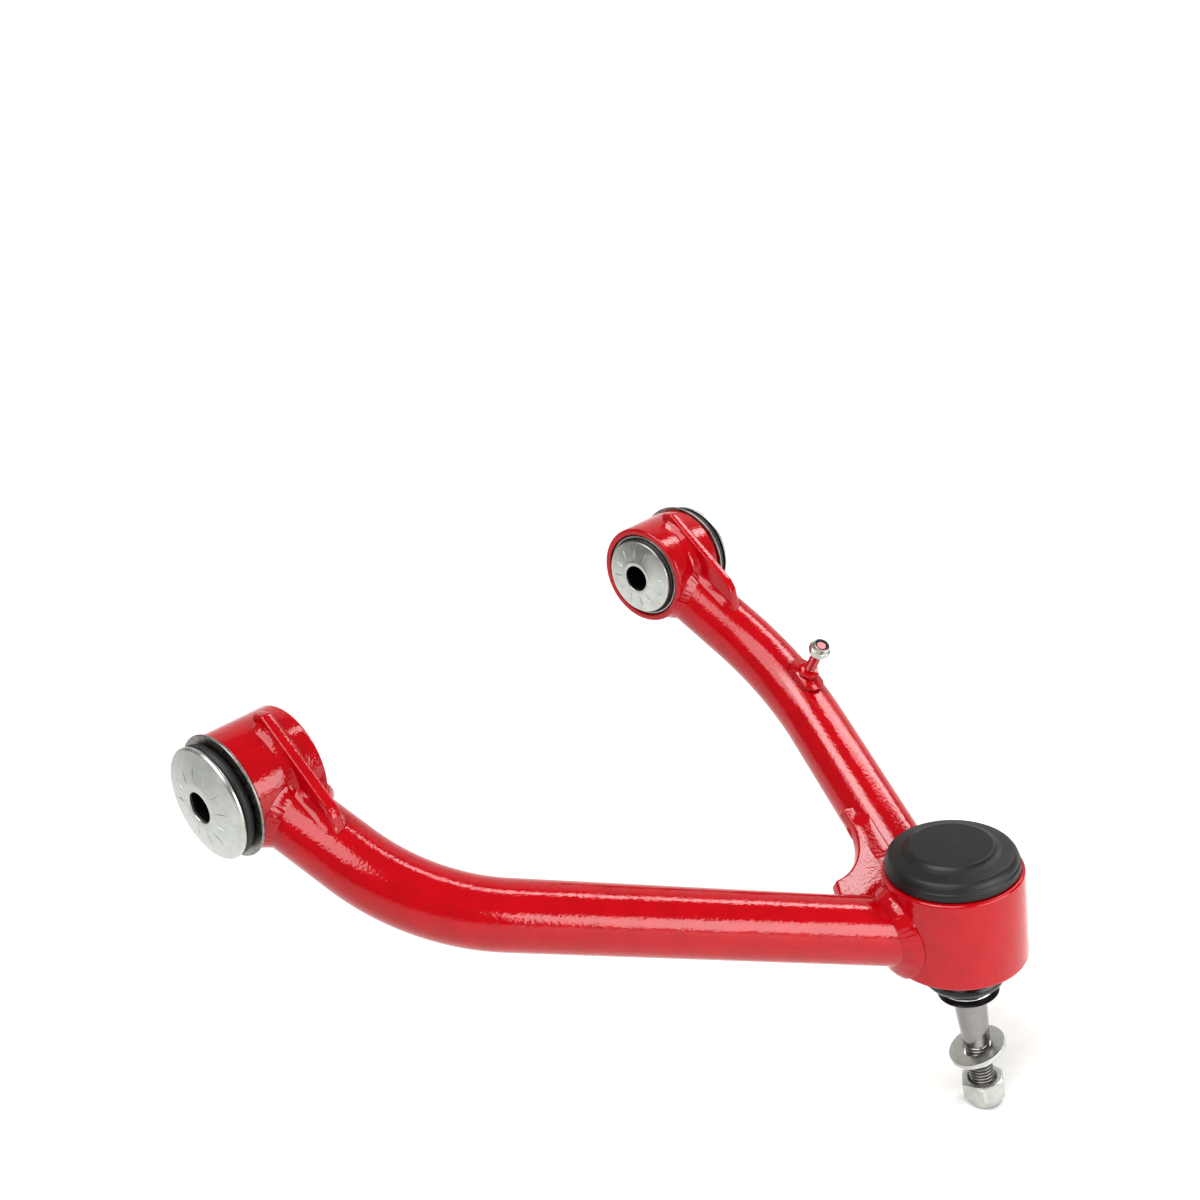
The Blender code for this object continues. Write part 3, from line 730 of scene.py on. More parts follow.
# %% [markdown]
# A function lays the section along any seam, from the two surfaces' outward directions. A crown
# of 0.5 gives a flat face, more swells it, and less hollows it. An open bead thins to its ends.


# %% Weld section
SINK = 0.0009        # how far the bead's back lies under the surfaces
SECTION = 9          # points across the bead's face


def weld_rows(seam, leg, closed, crown):
    """The section's points at each step, with the length so far and the height of ripple."""
    count = len(seam)
    points = [s[0] for s in seam]
    lengths = [0.0]
    for i in range(1, count):
        lengths.append(lengths[-1] + (points[i] - points[i - 1]).length)
    vertices, along, crowns = [], [], []
    for i, (point, a, b) in enumerate(seam):
        ahead = points[(i + 1) % count] if closed or i + 1 < count else points[i]
        behind = points[i - 1] if closed or i > 0 else points[i]
        run = (ahead - behind).normalized()
        on_a = run.cross(a).normalized()
        on_a = on_a if on_a.dot(b) > 0 else -on_a
        on_b = run.cross(b).normalized()
        on_b = on_b if on_b.dot(a) > 0 else -on_b
        to_end = min(lengths[i], lengths[-1] - lengths[i])
        size = leg if closed else leg * math.sqrt(max(0.02, min(1.0, to_end / leg)))
        foot_a = point + on_a * size
        foot_b = point + on_b * size
        top = point + (on_a + on_b) * size * crown
        row = [point - (a + b) * SINK, foot_a - a * SINK]
        rise = [0.0, 0.0]
        for k in range(SECTION):
            t = k / (SECTION - 1)
            row.append(foot_a * (1 - t) ** 2 + top * 2 * t * (1 - t) + foot_b * t * t)
            rise.append(math.sin(math.pi * t) if closed else math.sin(math.pi * t) * size / leg)
        row.append(foot_b - b * SINK)
        rise.append(0.0)
        vertices += row
        crowns += rise
        along += [lengths[i]] * len(row)
    return vertices, along, crowns


def weld(name, seam, leg, crown, closed=False, lumps=0.0012):
    """A fillet along seam, a list of (point, outward a, outward b)."""
    vertices, along, crowns = weld_rows(seam, leg, closed, crown)
    count = len(seam)
    wide = SECTION + 3
    faces = []
    for i in range(count if closed else count - 1):
        for k in range(wide):
            n = (k + 1) % wide
            j = (i + 1) % count
            faces.append((i * wide + k, i * wide + n, j * wide + n, j * wide + k))
    if not closed:
        faces.append(tuple(range(wide)))
        faces.append(tuple(range((count - 1) * wide, count * wide)))
    bead = piece(name, vertices, faces, PAINT)
    for label, values in (("along", along), ("crown", crowns)):
        bead.data.attributes.new(label, "FLOAT", "POINT").data.foreach_set("value", values)
    outwards(bead.data, merge=False)
    return grown(bead, WELD_RIPPLES, Pitch=WELD_PITCH, Ripple=WELD_RIPPLE, **{
        "Lump size": LUMP_SIZE, "Lump height": lumps, "Material": PAINT})


print("a bead's section has", SECTION + 3, "points")

# %% [markdown]
# The ring of weld at a leg's end follows the line where the tube meets the drum of the eye or
# of the housing. Each point of it is found by sliding a point on the tube along the tube's axis
# until it lies on the drum.


# %% Welds round the legs
def drum_normal(point, centre, axis):
    """The outward direction of a drum at a point."""
    offset = point - centre
    return (offset - offset.dot(axis) * axis).normalized()


def end_seam(line, from_start, centre, axis, drum_r, count=160):
    """The closed seam of a tube's end on a drum, with both outward directions."""
    inner, outer = (line[0], line[8]) if from_start else (line[-1], line[-9])
    aim = (inner - outer).normalized()
    side = aim.cross(axis).normalized()
    up = side.cross(aim).normalized()
    found = []
    for i in range(count):
        angle = 2.0 * math.pi * i / count
        out = math.cos(angle) * side + math.sin(angle) * up
        start = outer - aim * 0.05 + TUBE_R * out
        offset = (start - centre) - (start - centre).dot(axis) * axis
        step = aim - aim.dot(axis) * axis
        a = step.dot(step)
        b = 2.0 * offset.dot(step)
        c = offset.dot(offset) - drum_r ** 2
        travel = (-b - math.sqrt(max(0.0, b * b - 4.0 * a * c))) / (2.0 * a)
        point = start + aim * travel
        found.append((point, drum_normal(point, centre, axis), out))
    return found


for side_name, side in SIDES.items():
    seam = end_seam(LINES[side_name], True, BALL, Z, HOUSING_R)
    bead = weld("weld_bead_housing_" + side_name, seam, 0.0056, crown=0.60, closed=True,
                lumps=0.0020)
    fitted(bead, "weld_housing_" + side_name, slot="red_powder_coat")
    seam = end_seam(LINES[side_name], False, X * side * EYE_X, X, EYE_R)
    bead = weld("weld_bead_eye_" + side_name, seam, 0.0036, crown=0.45, closed=True)
    fitted(bead, "weld_eye_" + side_name, slot="red_powder_coat")
print("four ring welds")

# %% [markdown]
# The plates are welded along both faces. Their seams lie where a flat plane cuts the tube or
# the drum, so each point is found from the tube's centre line and the plane.


# %% Welds along the plates
def plane_on_tube(line, plane_point, plane_normal, toward):
    """Where a plane cuts a tube's surface, on the side that faces toward."""
    found = []
    for here, after in zip(line, line[1:]):
        run = (after - here).normalized()
        across = (plane_normal - plane_normal.dot(run) * run).normalized()
        up = run.cross(across)
        up = up if up.dot(toward) > 0 else -up
        rise = (plane_point - here).dot(plane_normal) / (TUBE_R * across.dot(plane_normal))
        if abs(rise) < 0.98:
            out = rise * across + math.sqrt(1.0 - rise * rise) * up
            found.append((here + TUBE_R * out, out))
    return found


def fin_seam(side_name, face):
    """Down the eye's round and on along the top of the tube, for one face of a gusset."""
    x = FIN_X[side_name] + face * FIN_T / 2.0
    outward = X * face
    lower = [(p, out, outward) for p, out in plane_on_tube(LINES[side_name], X * x, X, Z)
             if math.hypot(p.y, p.z) > EYE_R + 0.001 and p.y > -0.0495]
    lower.reverse()
    meet = math.atan2(lower[0][0].z, lower[0][0].y) % (2.0 * math.pi)
    upper = []
    for angle in np.linspace(math.radians(103.0), meet, 40)[:-1]:
        out = Vector((0.0, math.cos(angle), math.sin(angle)))
        upper.append((X * x + EYE_R * out, out, outward))
    return upper + lower


def web_seam(side_name, face):
    """Along one leg, for one face of the web."""
    outward = web_normal * face
    middle = (to_plain + to_bracket) / 2.0
    start = ROUTES[side_name][0]
    found = []
    face_point = web_centre + outward * WEB_T / 2.0
    for p, out in plane_on_tube(LINES[side_name], face_point, web_normal, middle):
        clear = math.hypot(p.x - BALL.x, p.y - BALL.y) > HOUSING_R
        if clear and (p - start).length < web_reach[side_name]:
            found.append((p, out, outward))
    return found


for side_name in SIDES:
    for face, face_name in ((1.0, "outer"), (-1.0, "inner")):
        bead = weld(f"weld_bead_gusset_{side_name}_{face_name}", fin_seam(side_name, face),
                    0.0030, crown=0.36)
        fitted(bead, slot="red_powder_coat")
    for face, face_name in ((1.0, "top"), (-1.0, "under")):
        bead = weld(f"weld_bead_web_{side_name}_{face_name}", web_seam(side_name, face),
                    0.0050, crown=0.50, lumps=0.0024)
        fitted(bead, slot="red_powder_coat")
print("eight plate welds")

# %% [markdown]
# ## Bushings
# Each bushing is a pressed shell with a flange, a rubber body, an inner sleeve and two dished
# discs. They are all turned shapes about the bolt's axis. The rubber bulges in a round band
# between the flange and the big disc.

# %% Bushings
BOLT_R = 0.0072
FLANGE_LOW = EYE_OUT + 0.0003
FLANGE_TOP = FLANGE_LOW + 0.0014
SHELL_BORE_R = 0.0216
OUTER_NOSE = 0.0294
INNER_NOSE = 0.0231
FLAT_R = 0.0110
for side_name in SIDES:
    body = "sleeve_" + side_name
    at_eye = eye_place(side_name)
    shell = turned("flanged_shell_" + side_name,
                   [(0.0284, FLANGE_TOP, 0.0007), (0.0284, FLANGE_LOW, 0.0006),
                    (0.0230, FLANGE_LOW), (0.0230, -0.0172, 0.0005),
                    (SHELL_BORE_R, -0.0172, 0.0003), (SHELL_BORE_R, FLANGE_TOP, 0.0004)],
                   at_eye, PRESSED)
    fitted(shell, "bushing_shell_" + side_name, slot="bare_steel")
    rubber = turned("rubber_body_" + side_name,
                    [(0.0101, 0.0275), (FLAT_R, 0.0275), (0.0238, 0.0242, 0.0004),
                     (0.0252, 0.0234, 0.0012), (0.0260, 0.0216, 0.0016), (0.0248, 0.0196, 0.0012),
                     (0.0232, 0.0186, 0.0004), (0.0213, 0.0185), (0.0213, -0.0174, 0.0008),
                     (0.0206, -0.0183, 0.0006), (FLAT_R, -0.0212), (0.0101, -0.0212)],
                    at_eye, RUBBER)
    fitted(rubber, "bushing_rubber_" + side_name, slot="black_rubber")
    # The sleeve takes the painted bore shade, so the inside of the bore reads dark.
    sleeve = turned("inner_sleeve_" + side_name,
                    [(0.0098, 0.0275), (0.0098, -0.0212), (BOLT_R, -0.0212), (BOLT_R, 0.0275)],
                    at_eye, PAINTED_BORE_SHADE)
    fitted(sleeve, "bushing_sleeve_" + side_name, body=body, slot="zinc_plate")
    big = turned("disc_outer_" + side_name,
                 [(BOLT_R, OUTER_NOSE, 0.0005), (FLAT_R, OUTER_NOSE, 0.0030),
                  (0.0252, 0.0262, 0.0006), (0.0260, 0.0254, 0.0005),
                  (0.0260, 0.0243, 0.0004), (0.0252, 0.0243),
                  (FLAT_R, 0.0278), (BOLT_R, 0.0278)], at_eye, ZINC, 160, sharp=50.0)
    fitted(big, "bushing_disc_outer_" + side_name, body=body, slot="zinc_plate")
    small = turned("disc_inner_" + side_name,
                   [(BOLT_R, -0.0215), (FLAT_R, -0.0215), (0.0206, -0.0187, 0.0003),
                    (0.0206, -0.0203, 0.0005), (0.0098, -0.0228, 0.0010),
                    (0.0092, -INNER_NOSE, 0.0004), (BOLT_R, -INNER_NOSE, 0.0004)],
                   at_eye, ZINC, 160, sharp=50.0)
    fitted(small, "bushing_disc_inner_" + side_name, body=body, slot="zinc_plate")

# %% [markdown]
# The discs carry short, low radial ribs, stamped in a ring. Twelve to a disc is a choice made
# here, and they most likely help the disc to grip what is clamped on it. A rib is one small low
# dome, and a node tree sets copies of it round a circle.


# %% Stamped ribs on the discs
def rib_tree():
    tree, start = node_tree("Radial ribs", {
        "Count": "NodeSocketInt", "Circle": "NodeSocketFloat", "Slope": "NodeSocketFloat",
        "Length": "NodeSocketFloat", "Width": "NodeSocketFloat", "Height": "NodeSocketFloat",
        "Material": "NodeSocketMaterial"})
    dome = add(tree, "GeometryNodeMeshUVSphere", {"Segments": 16, "Rings": 8, "Radius": 0.5})
    size = add(tree, "ShaderNodeCombineXYZ", links={
        "X": start.outputs["Length"], "Y": start.outputs["Width"], "Z": start.outputs["Height"]})
    tip = add(tree, "ShaderNodeCombineXYZ", links={"Y": start.outputs["Slope"]})
    rib = add(tree, "GeometryNodeTransform", links={
        "Geometry": dome.outputs[0], "Scale": size.outputs[0], "Rotation": tip.outputs[0]})
    circle = add(tree, "GeometryNodeMeshCircle", links={
        "Vertices": start.outputs["Count"], "Radius": start.outputs["Circle"]})
    where = add(tree, "GeometryNodeInputPosition")
    aim = add(tree, "FunctionNodeAlignEulerToVector", links={"Vector": where.outputs[0]}, axis="X")
    copies = add(tree, "GeometryNodeInstanceOnPoints", links={
        "Points": circle.outputs[0], "Instance": rib.outputs[0], "Rotation": aim.outputs[0]})
    end_tree(tree, start, copies.outputs[0])
    return tree


RIBS = rib_tree()
RIB_COUNT = 12
RIB_LENGTH = 0.0070


def ribs(name, side_name, circle, height, slope, facing, width, rise):
    """A ring of ribs on a disc; facing is +1 on the outer disc and -1 on the inner one."""
    base = piece(name, [(0, 0, 0)], [], ZINC)
    made = grown(base, RIBS, Count=RIB_COUNT, Circle=circle, Slope=slope, Length=RIB_LENGTH,
                 Width=width, Height=rise, Material=ZINC)
    flip = Matrix.Identity(4) if facing > 0 else Matrix.Rotation(math.pi, 4, "X")
    made.data.transform(eye_place(side_name) @ Matrix.Translation((0, 0, height)) @ flip)
    fitted(made, body="sleeve_" + side_name, slot="zinc_plate")


for side_name in SIDES:
    ribs("ribs_outer_" + side_name, side_name, 0.0150, 0.02855, 0.213, 1.0, 0.0005, 0.00036)
    ribs("ribs_inner_" + side_name, side_name, 0.0138, -0.02200, 0.226, -1.0, 0.0006, 0.00044)
print("ribs", 4 * RIB_COUNT)

# %% [markdown]
# ## Dust cap
# A moulded cap is pressed over the cartridge: a raised round panel, a sloping shoulder, a
# shallow waist and a skirt that sits in the housing.

# %% Dust cap
cap = turned("dust_cap_moulding",
             [(0.0, 0.0321), (0.0190, 0.0323, 0.0020), (0.0206, 0.0310, 0.0012),
              (0.0226, 0.0300, 0.0020), (0.0284, 0.0288, 0.0030), (0.0300, 0.0262, 0.0020),
              (0.0299, 0.0250, 0.0010),
              (0.0307, 0.0240, 0.0012), (0.0308, 0.0207, 0.0006), (0.0283, 0.0205),
              (0.0283, 0.0172), (0.0258, 0.0172), (0.0258, 0.0262), (0.0180, 0.0288),
              (0.0, 0.0288)],
             AT_BALL, CAP_BLACK, 160, sharp=60.0)
fitted(cap, "dust_cap", slot="cap_black")
HIDDEN = {"joint_casing": PRESSED, "cover_plate": PRESSED, "snap_ring": PRESSED,
          "seat_lower": ACETAL, "seat_upper": ACETAL}
for node_name, look in HIDDEN.items():
    frame["nodes"][node_name].data.materials.clear()
    frame["nodes"][node_name].data.materials.append(look)
print("cap", len(cap.data.polygons), "faces")

# %% [markdown]
# ## Stud
# Ball, neck and taper are one turned forging, ground on the taper. It leans a little off the
# housing's axis, as it was left.

# %% Stud
lean = Z.rotation_difference(-STUD_DOWN)
ALONG = AT_BALL @ lean.to_matrix().to_4x4()
TAPER_TO = 0.0755
THREAD_R = 0.0059
STUD_TIP = 0.1075
BALL_R = 0.0130
ball_arc = [(BALL_R * math.cos(math.radians(a)), BALL_R * math.sin(math.radians(a)))
            for a in np.linspace(76.0, -60.0, 32)]
stud = turned("stud_forging",
              [(0.0, ball_arc[0][1])] + ball_arc
              + [(0.0058, -0.0128, 0.0006), (0.0058, -0.0168, 0.0006), (0.0080, -0.0208, 0.0010),
                 (0.0081, -0.0480, 0.0020), (0.00645, -TAPER_TO, 0.0005),
                 (0.0050, -TAPER_TO - 0.0001, 0.0003), (0.0050, -TAPER_TO - 0.0012),
                 (0.0, -TAPER_TO - 0.0012)],
              ALONG, GROUND, 128)
fitted(stud, "stud", body="stud", slot="bare_steel")
print("stud leans", round(math.degrees(lean.angle), 1), "degrees")

# %% [markdown]
# ## Threads
# A thread is a long thin cylinder of many rings, and a node tree moves each of its points in or
# out by where it lies on the helix, which is the same rule as the thread roller's.


# %% Threads
def thread_tree():
    tree, start = node_tree("Screw thread", {
        "Radius": "NodeSocketFloat", "Pitch": "NodeSocketFloat", "Depth": "NodeSocketFloat",
        "Length": "NodeSocketFloat", "Rings": "NodeSocketInt", "Material": "NodeSocketMaterial"})
    rod = add(tree, "GeometryNodeMeshCylinder", {"Vertices": 64}, {
        "Side Segments": start.outputs["Rings"], "Radius": start.outputs["Radius"],
        "Depth": start.outputs["Length"]})
    where = add(tree, "GeometryNodeInputPosition")
    split = add(tree, "ShaderNodeSeparateXYZ", links={0: where.outputs[0]})
    angle = add(tree, "ShaderNodeMath", links={0: split.outputs["Y"], 1: split.outputs["X"]},
                operation="ARCTAN2")
    turn = add(tree, "ShaderNodeMath", {1: 2.0 * math.pi}, {0: angle.outputs[0]},
               operation="DIVIDE")
    rise = add(tree, "ShaderNodeMath", links={0: split.outputs["Z"], 1: start.outputs["Pitch"]},
               operation="DIVIDE")
    phase = add(tree, "ShaderNodeMath", links={0: rise.outputs[0], 1: turn.outputs[0]},
                operation="SUBTRACT")
    saw = add(tree, "ShaderNodeMath", {1: 0.5}, {0: phase.outputs[0]}, operation="PINGPONG")
    groove = add(tree, "ShaderNodeMapRange", {"From Min": 0.08, "From Max": 0.44},
                 {"Value": saw.outputs[0]})
    half = add(tree, "ShaderNodeMath", {1: 0.5}, {0: start.outputs["Length"]},
               operation="MULTIPLY")
    height = add(tree, "ShaderNodeMath", links={0: split.outputs["Z"]}, operation="ABSOLUTE")
    to_end = add(tree, "ShaderNodeMath", links={0: half.outputs[0], 1: height.outputs[0]},
                 operation="SUBTRACT")
    values = {"From Min": 0.0, "From Max": 0.0009, "To Min": 1.0, "To Max": 0.0}
    chamfer = add(tree, "ShaderNodeMapRange", values, {"Value": to_end.outputs[0]})
    deeper = add(tree, "ShaderNodeMath", links={0: groove.outputs[0], 1: chamfer.outputs[0]},
                 operation="MAXIMUM")
    inward = add(tree, "ShaderNodeMath", links={0: deeper.outputs[0], 1: start.outputs["Depth"]},
                 operation="MULTIPLY")
    flat = add(tree, "ShaderNodeCombineXYZ", links={
        "X": split.outputs["X"], "Y": split.outputs["Y"]})
    out = add(tree, "ShaderNodeVectorMath", links={0: flat.outputs[0]}, operation="NORMALIZE")
    back = add(tree, "ShaderNodeMath", {1: -1.0}, {0: inward.outputs[0]}, operation="MULTIPLY")
    offset = add(tree, "ShaderNodeVectorMath", links={
        0: out.outputs[0], "Scale": back.outputs[0]}, operation="SCALE")
    kept = add(tree, "GeometryNodeStoreNamedAttribute", {"Name": "groove"}, {
        "Geometry": rod.outputs[0], "Value": groove.outputs[0]}, data_type="FLOAT", domain="POINT")
    moved = add(tree, "GeometryNodeSetPosition", links={
        "Geometry": kept.outputs[0], "Offset": offset.outputs[0]})
    end_tree(tree, start, moved.outputs[0])
    return tree


THREAD = thread_tree()
RINGS_A_TURN = 12


def threaded_rod(name, place, radius, pitch, depth, low, high, material):
    """A threaded length between two heights of the frame."""
    rings = int((high - low) / pitch * RINGS_A_TURN)
    made = grown(piece(name, [(0, 0, 0)], [], material), THREAD, Radius=radius, Pitch=pitch,
                 Depth=depth, Length=high - low, Rings=rings, Material=material)
    made.data.transform(place @ Matrix.Translation((0.0, 0.0, (low + high) / 2.0)))
    made.data.set_sharp_from_angle(angle=math.radians(60.0))
    return made


thread = threaded_rod("stud_thread", ALONG, THREAD_R, 0.00175, 0.00085, -STUD_TIP,
                      -TAPER_TO - 0.0008, THREADED)
fitted(thread, body="stud", slot="bare_steel")
print("thread", len(thread.data.polygons), "faces")

# %% [markdown]
# ## Washer
# The washer hangs askew on the stud, so its frame is turned about a level line first.

# %% Washer
WASHER_AT = 0.0795
hang = Matrix.Rotation(math.radians(15.0), 4, Vector((-0.742, -0.670, 0.0)))
ASKEW = ALONG @ Matrix.Translation((0.0, 0.0, -WASHER_AT)) @ hang
washer = turned("plain_washer", [(0.0140, 0.00125, 0.0004), (0.0140, -0.00125, 0.0006),
                                 (0.0073, -0.00125, 0.0002), (0.0073, 0.00125, 0.0003)],
                ASKEW, ZINC)
fitted(washer, "washer", body="washer", slot="zinc_plate")
print("washer", WASHER_AT, "m down the stud")

# %% [markdown]
# ## Locking nuts
# A locking nut is a hexagon whose corners are turned off to a cone, with a round collar that
# grips a nylon ring. One grid makes it: at each height and angle the radius is the smaller of
# the hexagon's and the cone's, so the curved chamfer lines come out by themselves.


# %% Locking nuts
LIP_SHARE = 0.42     # how far out the collar's lip lies between bore and flat


def hexagon_radius(angle, flats):
    """The hexagon's radius at an angle."""
    local = (angle + math.pi / 6.0) % (math.pi / 3.0) - math.pi / 6.0
    return flats / 2.0 / math.cos(local)


def locking_nut(name, place, flats, height, collar, bore, steps=240):
    """The nut's steel: hexagon, turned chamfers, collar and a countersunk bore."""
    corner = flats / math.sqrt(3.0)
    flat_r = flats / 2.0
    top = height + collar
    lip = bore + (flat_r - bore) * LIP_SHARE
    slope = (corner - flat_r) * 0.62
    outside = [(lip, top - collar * 0.04), (flat_r * 0.74, top),
               (flat_r * 0.83, top - collar * 0.10), (flat_r * 0.885, top - collar * 0.30),
               (flat_r * 0.905, height + collar * 0.30), (flat_r * 0.925, height + slope * 0.30),
               (flat_r * 0.99, height + slope * 0.05)]
    for k in range(10):
        outside.append((flat_r + (corner - flat_r) * (k + 1) / 10, height - slope * (k + 1) / 10))
    for h in np.linspace(height - slope * 1.2, slope * 1.2, 8):
        outside.append((corner * 1.01, h))
    for k in range(10):
        outside.append((corner - (corner - flat_r * 0.97) * (k + 1) / 10,
                        slope * (1 - (k + 1) / 10)))
    inside = [(bore + 0.0011, 0.0), (bore, 0.0011), (bore, height + 0.0004), (lip, height + 0.0006),
              (lip, top - collar * 0.05)]
    vertices, faces = [], []
    for radius, h in outside + inside:
        for k in range(steps):
            angle = 2.0 * math.pi * k / steps
            flat = hexagon_radius(angle, flats) * 0.998
            r = min(radius, flat) if radius > flat_r * 0.95 else radius
            vertices.append((r * math.cos(angle), r * math.sin(angle), h))
    levels = len(outside + inside)
    for i in range(levels):
        j = (i + 1) % levels
        for k in range(steps):
            n = (k + 1) % steps
            faces.append((i * steps + k, j * steps + k, j * steps + n, i * steps + n))
    return piece(name, vertices, faces, ZINC, place, sharp=28.0)


def nylon_ring(name, place, flats, height, collar, bore):
    """The dark ring inside the collar, with a rounded mouth."""
    lip = bore + (flats / 2.0 - bore) * LIP_SHARE
    top = height + collar
    outline = [(lip - 0.0002, top - collar * 0.12, 0.0002), (lip - 0.0002, height + 0.0008),
               (bore, height + 0.0008), (bore, top - collar * 0.20, 0.0006)]
    return turned(name, outline, place, NYLON, 96)


down = ALONG @ Matrix.Translation((0.0, 0.0, -0.0962)) @ Matrix.Rotation(math.pi, 4, "X")
NUT_SIZES = (0.0190, 0.0090, 0.0042, THREAD_R + 0.0003)
nut = locking_nut("stud_locking_nut", down, *NUT_SIZES)
fitted(nut, "stud_nut", body="stud_nut", slot="zinc_plate")
insert = nylon_ring("stud_nut_nylon", down, *NUT_SIZES)
fitted(insert, "stud_nut_insert", body="stud_nut_ring", slot="nylon_blue")
print("nut", len(nut.data.polygons), "faces")

# %% [markdown]
# ## Dust boot
# The boot is one rubber bellows between the housing and the stud's neck, with a wire clip in a
# groove above its flared lip. It is made in two lengths, an upper and a lower half, that meet
# in a fold. At rest the bellows already leans with the stud.

# %% Dust boot
BOOT_TOP = -0.0260
BOOT_FOLD = -0.0288
BOOT_NECK = -0.0425


def boot_lean(height):
    """How far a height of the boot has swung towards the stud's line."""
    t = min(1.0, max(0.0, (BOOT_TOP - height) / (BOOT_TOP - BOOT_NECK)))
    return Quaternion().slerp(lean, t * t * (3.0 - 2.0 * t)).to_matrix()


upper_outline = [
    (0.0205, -0.0145, 0.0004), (0.0205, -0.0180, 0.0010), (0.0222, -0.0212, 0.0016),
    (0.0219, -0.0236, 0.0014), (0.0206, -0.0262, 0.0012), (0.0188, BOOT_FOLD),
    (0.0175, BOOT_FOLD), (0.0190, -0.0262, 0.0010), (0.0204, -0.0240, 0.0010),
    (0.0202, -0.0218, 0.0010), (0.0186, -0.0186, 0.0008), (0.0182, -0.0145),
]
lower_outline = [
    (0.0188, BOOT_FOLD), (0.0179, -0.0308, 0.0010), (0.0178, -0.0330, 0.0012),
    (0.0192, -0.0352, 0.0012), (0.0195, -0.0372, 0.0012), (0.0180, -0.0396, 0.0014),
    (0.0132, -0.0424, 0.0010), (0.0117, -0.0433, 0.0006), (0.0118, -0.0448, 0.0005),
    (0.0130, -0.0452, 0.0008), (0.0146, -0.0466, 0.0005), (0.0141, -0.0471, 0.0003),
    (0.0100, -0.0462, 0.0006), (0.0087, -0.0474, 0.0003), (0.0087, -0.0424, 0.0004),
    (0.0112, -0.0412, 0.0008), (0.0168, -0.0384, 0.0012), (0.0180, -0.0368, 0.0008),
    (0.0178, -0.0354, 0.0008), (0.0163, -0.0332, 0.0008), (0.0164, -0.0308, 0.0008),
    (0.0175, BOOT_FOLD),
]
upper_boot = turned("boot_upper", upper_outline, AT_BALL, BOOT_RUBBER, 128, boot_lean, 60.0)
lower_boot = turned("boot_lower", lower_outline, AT_BALL, BOOT_RUBBER, 128, boot_lean, 60.0)
fold_at = BALL + boot_lean(BOOT_FOLD) @ Vector((0.0, 0.0, BOOT_FOLD))
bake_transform(upper_boot)
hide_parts("boot_base")
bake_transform(lower_boot)
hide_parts("boot_fold", "boot_neck")
WIRE_R = 0.0006
wire_outline = [(0.0125 + WIRE_R * math.cos(math.radians(a)),
                 -0.0441 + WIRE_R * math.sin(math.radians(a))) for a in range(90, -270, -30)]
clip = turned("clip_wire", wire_outline, ALONG, WIRE, 128, sharp=80.0)
fitted(clip, "clip_ring", body="boot_collar", slot="wire")
print("boot", len(upper_boot.data.polygons) + len(lower_boot.data.polygons), "faces")

# %% [markdown]
# ## Hose bracket post
# A short M6 stud on a formed saddle is welded to one leg, painted with the arm, and carries a
# small locking nut. The saddle keeps its solid's shape, trimmed to an oval, and the hexagon
# foot keeps its own with eased edges.


# %% Hose bracket post
def eased(name, node, width):
    """A copy of a solid's mesh, merged, with eased edges."""
    mesh = frame["nodes"][node].data.copy()
    work = bmesh.new()
    work.from_mesh(mesh)
    bmesh.ops.remove_doubles(work, verts=work.verts, dist=MERGE)
    bmesh.ops.dissolve_limit(work, angle_limit=math.radians(2.0), verts=work.verts,
                             edges=work.edges)
    sharp = [edge for edge in work.edges
             if len(edge.link_faces) == 2 and edge.calc_face_angle() > math.radians(30.0)]
    if width > 0.0:
        bmesh.ops.bevel(work, geom=sharp, offset=width, segments=3, profile=0.5, affect="EDGES",
                        clamp_overlap=True)
    work.to_mesh(mesh)
    work.free()
    mesh.materials.clear()
    mesh.materials.append(PAINT)
    mesh.shade_smooth()
    mesh.set_sharp_from_angle(angle=math.radians(45.0))
    return linked(name, mesh)


nut_joint = next(j for j in frame["joints"] if j["name"] == "line_nut_spin")
POST_FOOT = Vector(nut_joint["pos_m"])
POST_UP = Vector(nut_joint["axis"]).normalized()
POST_ALONG = Vector((0.26251, 0.799372, 0.540457))
POST_LOW = 0.0064
POST_HIGH = 0.0255
at_post = Matrix.Translation(POST_FOOT) @ Matrix((
    POST_ALONG, POST_UP.cross(POST_ALONG), POST_UP)).transposed().to_4x4()
oval = at_post @ Matrix.Diagonal((1.0, 0.66, 1.0, 1.0))
oval_tool = turned("oval", [(0.0, 0.01), (0.0113, 0.01), (0.0113, -0.01), (0.0, -0.01)], oval,
                   PAINT, 96)
saddle = eased("line_saddle_eased", "line_saddle", 0.0)
trim = saddle.modifiers.new("oval", "BOOLEAN")
trim.operation = "INTERSECT"
trim.solver = "EXACT"
trim.object = oval_tool
saddle = plain_mesh(saddle)
bpy.data.objects.remove(oval_tool, do_unlink=True)
fitted(saddle, "line_saddle", slot="red_powder_coat")
base = eased("line_base_eased", "line_base", 0.0004)
fitted(base, "line_base", slot="red_powder_coat")
post = threaded_rod("line_post_thread", at_post, 0.0028, 0.0010, 0.00040, POST_LOW, POST_HIGH,
                    PAINT)
fitted(post, "line_post", slot="red_powder_coat")
line_sizes = (0.0100, 0.0040, 0.0022, 0.0031)
nut_at = at_post @ Matrix.Translation((0.0, 0.0, 0.0200))
line_nut = locking_nut("line_locking_nut", nut_at, *line_sizes)
fitted(line_nut, "line_nut", body="line_nut", slot="zinc_plate")
line_insert = nylon_ring("line_nut_nylon", nut_at, *line_sizes)
fitted(line_insert, "line_nut_insert", body="line_nut_ring", slot="nylon_blue")
print("post", POST_HIGH, "m tall")
